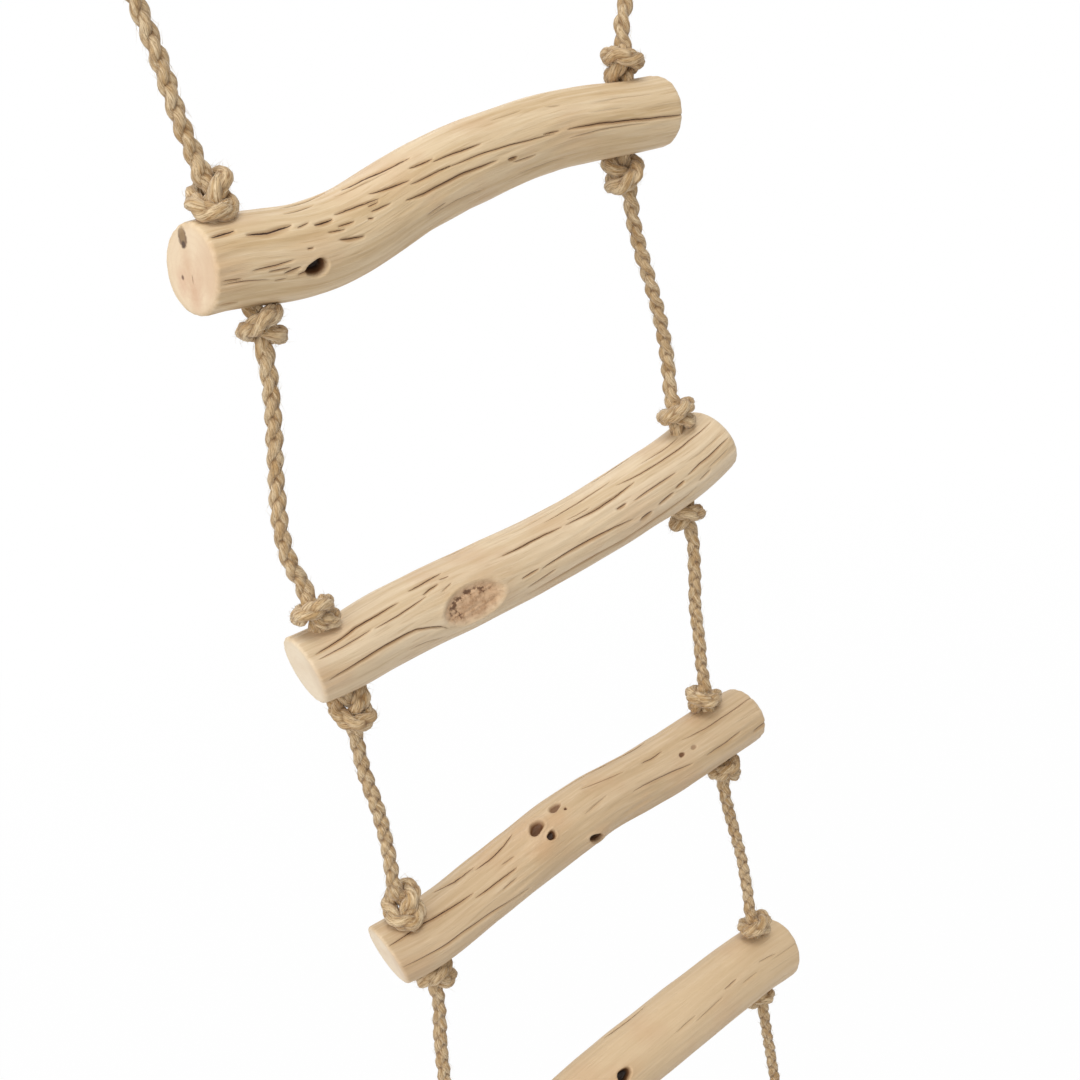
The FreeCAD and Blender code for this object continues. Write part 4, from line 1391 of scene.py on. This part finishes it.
def marked_colour(tree, colour, coarse, torn):
    """The colour with all that the mesh stores laid over it, one after another: swollen
    wood, the scar's heart and its torn edge, then the painted shade of hollows, cracks and
    knot holes."""
    swell = rescale(tree, attribute(tree, "swell"), 0.35, 0.9, 0.0, 0.4)
    colour = mix_colour(tree, colour, SWOLLEN, calculate(tree, "MULTIPLY", swell, coarse))
    heart, hollow, pit = [attribute(tree, layer) for layer in ("heart", "hollow", "pit")]
    rough = mix_colour(tree, *HEART, rescale(tree, torn, 0.42, 0.62))
    colour = mix_colour(tree, colour, rough, calculate(tree, "MULTIPLY", heart, 0.85))
    edge = calculate(tree, "MULTIPLY", attribute(tree, "tear"), 0.22)
    jagged = rescale(tree, calculate(tree, "ADD", torn, edge), 0.64, 0.72)
    jagged = calculate(tree, "MULTIPLY", jagged, heart)
    colour = mix_colour(tree, colour, TORN, calculate(tree, "MULTIPLY", jagged, 0.85))
    # Painted shade in the grooves: brown over each hollow, then the dark line of each crack.
    colour = mix_colour(tree, colour, GROOVE_SHADE, rescale(tree, hollow, 0.12, 0.8, 0.0, 0.75))
    colour = mix_colour(tree, colour, CRACK_SHADE, crack_line(tree, torn))
    # Painted shade in the knot holes: brown, then almost black deeper in.
    colour = mix_colour(tree, colour, PIT_SHADE[0], rescale(tree, pit, 0.04, 0.5))
    return mix_colour(tree, colour, PIT_SHADE[1], rescale(tree, pit, 0.35, 0.95))


print("wood is coloured in three steps: skin, sawn faces, marks")


# %% The wood itself
def make_wood(name):
    """The material of one branch: its colours, the fibres as a fine bump, and a surface
    that is a little smoother where the fibres are pale."""
    material, tree, shader = new_material(name + "_wood", 0.62)
    grain, face = attribute(tree, "grain", "Vector"), attribute(tree, "face")
    coarse, fine = fibres(tree, grain, 300.0, 0.045)
    patches = speckle(tree, grain, 55.0, 2.0)
    torn = speckle(tree, grain, 420.0, 5.0, 0.7)
    skin = skin_colour(tree, name, coarse, fine, patches)
    colour = mix_colour(tree, skin, sawn_colour(tree, name, grain, patches), face)
    tree.links.new(marked_colour(tree, colour, coarse, torn), shader.inputs["Base Color"])

    both = calculate(tree, "ADD", calculate(tree, "MULTIPLY", coarse, 0.5),
                     calculate(tree, "MULTIPLY", fine, 0.5))
    body = calculate(tree, "ADD", calculate(tree, "SUBTRACT", 1.0, face), 0.3)
    bump = add_node(tree, "ShaderNodeBump", {"Strength": 0.6, "Distance": 0.0006})
    tree.links.new(calculate(tree, "MULTIPLY", both, body), bump.inputs["Height"])
    tree.links.new(bump.outputs["Normal"], shader.inputs["Normal"])
    tree.links.new(rescale(tree, coarse, 0.3, 0.7, 0.46, 0.62), shader.inputs["Roughness"])
    shader.inputs["Specular IOR Level"].default_value = 0.4
    return material


for name, piece in branches.items():
    piece.data.materials.append(make_wood(name))
    print(piece.name, "is finished in", piece.data.materials[0].name)


# %% [markdown]
# ## The jute
# Pale straw fibres, with painted shade in brown deep between the strands. A pattern in
# space would slide through the knots, so the fibres' own coordinate runs along each strand
# and follows every turn. The same fibre group as the wood's draws them, finer and less
# stretched.

# %% The jute
def make_jute():
    """The material of both ropes."""
    material, tree, shader = new_material("plaited_jute", 0.85)
    place = attribute(tree, "fibre", "Vector")
    crevice_shade = attribute(tree, "crevice_shade")
    coarse, fine = fibres(tree, place, 900.0, 0.16)
    colour = mix_colour(tree, linear(226, 202, 164), linear(190, 156, 110),
                        rescale(tree, coarse, 0.38, 0.62))
    colour = mix_colour(tree, colour, linear(136, 98, 56), rescale(tree, fine, 0.47, 0.64, 0.0, 0.75))
    # Painted shade: darker brown the deeper a point lies between the strands.
    colour = mix_colour(tree, colour, linear(112, 76, 40), rescale(tree, crevice_shade, 0.2, 1.0, 0.0, 0.8))
    colour = mix_colour(tree, colour, linear(236, 218, 184), rescale(tree, crevice_shade, -0.1, -0.4))
    tree.links.new(colour, shader.inputs["Base Color"])
    relief = calculate(tree, "ADD", coarse, fine)
    bump = add_node(tree, "ShaderNodeBump", {"Strength": 0.9, "Distance": 0.0005})
    tree.links.new(relief, bump.inputs["Height"])
    tree.links.new(bump.outputs["Normal"], shader.inputs["Normal"])
    shader.inputs["Specular IOR Level"].default_value = 0.15
    shader.inputs["Sheen Weight"].default_value = 0.25
    shader.inputs["Sheen Roughness"].default_value = 0.5
    return material


JUTE = make_jute()
for piece in ropes.values():
    piece.data.materials.append(JUTE)


# %% [markdown]
# ## What each piece is in the frame
# Everything hangs on the one body of the record. The dressed pieces could be added to
# the CAD solids, but then two surfaces would fight for the same place, so each replaces
# its own solid.

# %% Declaring the pieces
for name, piece in branches.items():
    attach(piece, "root")
    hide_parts(name)

for name, piece in ropes.items():
    line = lines[name]
    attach(piece, "root")
    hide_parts(name)
    print(piece.name, "is a cord of", round(float(length_along(line)[-1]), 3), "m")


# %% [markdown]
# ## The floor
# A backdrop could be lit until it is white, but that would wash out the ladder. So a
# plain pale floor lies well below it, and the camera, mirrors and glass see it as
# white, while it still takes a little of the soft shadow.

# %% The floor
FLOOR_REACH = 6.0           # half its width, in metres
FLOOR_BELOW = 0.35          # how far it lies below the ladder
WHITE_NEAR = (0.5, 0.95)    # up to this distance from the middle, this share is white
WHITE_FAR = (1.8, 1.0)


def seen_directly(tree):
    """1 for what the camera, a mirror or glass sees, and 0 for other light."""
    path = add_node(tree, "ShaderNodeLightPath")
    seen = calculate(tree, "MAXIMUM", path.outputs["Is Camera Ray"], path.outputs["Is Glossy Ray"])
    return calculate(tree, "MAXIMUM", seen, path.outputs["Is Transmission Ray"])


level = float(cad_low[2]) - FLOOR_BELOW
floor_mesh = bpy.data.meshes.new("floor")
floor_mesh.from_pydata([(-FLOOR_REACH, -FLOOR_REACH, level), (FLOOR_REACH, -FLOOR_REACH, level),
                        (FLOOR_REACH, FLOOR_REACH, level), (-FLOOR_REACH, FLOOR_REACH, level)],
                       [], [(0, 1, 2, 3)])
floor = bpy.data.objects.new("floor", floor_mesh)
bpy.context.scene.collection.objects.link(floor)
floor_material, floor_tree, floor_shader = new_material("pale_floor", 0.9)
floor_shader.inputs["Base Color"].default_value = (0.8, 0.8, 0.8, 1)
floor_place = add_node(floor_tree, "ShaderNodeTexCoord").outputs["Object"]
distance = add_node(floor_tree, "ShaderNodeVectorMath", operation="LENGTH")
floor_tree.links.new(floor_place, distance.inputs[0])
share = rescale(floor_tree, distance.outputs["Value"], WHITE_NEAR[0], WHITE_FAR[0],
                WHITE_NEAR[1], WHITE_FAR[1])
white = add_node(floor_tree, "ShaderNodeEmission", {"Color": (1, 1, 1, 1), "Strength": 1.0})
floor_mix = add_node(floor_tree, "ShaderNodeMixShader")
floor_tree.links.new(calculate(floor_tree, "MULTIPLY", seen_directly(floor_tree), share),
                     floor_mix.inputs[0])
floor_tree.links.new(floor_shader.outputs[0], floor_mix.inputs[1])
floor_tree.links.new(white.outputs[0], floor_mix.inputs[2])
floor_tree.links.new(floor_mix.outputs[0], floor_tree.nodes["Material Output"].inputs["Surface"])
floor_mesh.materials.append(floor_material)
print("the floor lies at", round(level, 3), "m")


# %% [markdown]
# ## The light
# The ladder is lit from all sides by a white world, which the camera sees as plain
# white. Small lamps would throw hard shadows that the photograph doesn't have, so three
# large soft ones give the shape: one from high in front, one from the left that lights
# the sawn faces, and a weak one from behind.

# %% The light
WORLD_STRENGTH = 0.57
LIT_PLACE = (0.0, 0.0, -0.3)        # what every lamp faces

world = bpy.data.worlds.new("studio")
world.use_nodes = True
bpy.context.scene.world = world
sky = world.node_tree
background = sky.nodes["Background"]
background.inputs["Color"].default_value = (1, 1, 1, 1)
sky.links.new(rescale(sky, seen_directly(sky), 0.0, 1.0, WORLD_STRENGTH, 1.0),
              background.inputs["Strength"])


def add_lamp(name, place, power, size):
    """A soft square lamp that faces the middle of the ladder."""
    lamp = bpy.data.lights.new(name, "AREA")
    lamp.energy = power
    lamp.size = size
    holder = bpy.data.objects.new(name, lamp)
    away = np.array(place) - LIT_PLACE
    away /= np.linalg.norm(away)
    right = np.cross((0, 0, 1), away)
    right /= np.linalg.norm(right)
    up = np.cross(away, right)
    rows = [(right[row], up[row], away[row], place[row]) for row in range(3)]
    holder.matrix_world = Matrix(rows + [(0, 0, 0, 1)])
    bpy.context.scene.collection.objects.link(holder)
    print("the", name, "lamp gives", power, "W")


add_lamp("key", (-0.15, -0.65, 1.35), 12.0, 0.8)
add_lamp("left", (-1.4, -0.35, 0.3), 11.0, 1.0)
add_lamp("back", (0.5, 1.2, 0.6), 4.0, 1.0)
bpy.context.scene.view_settings.view_transform = "Standard"
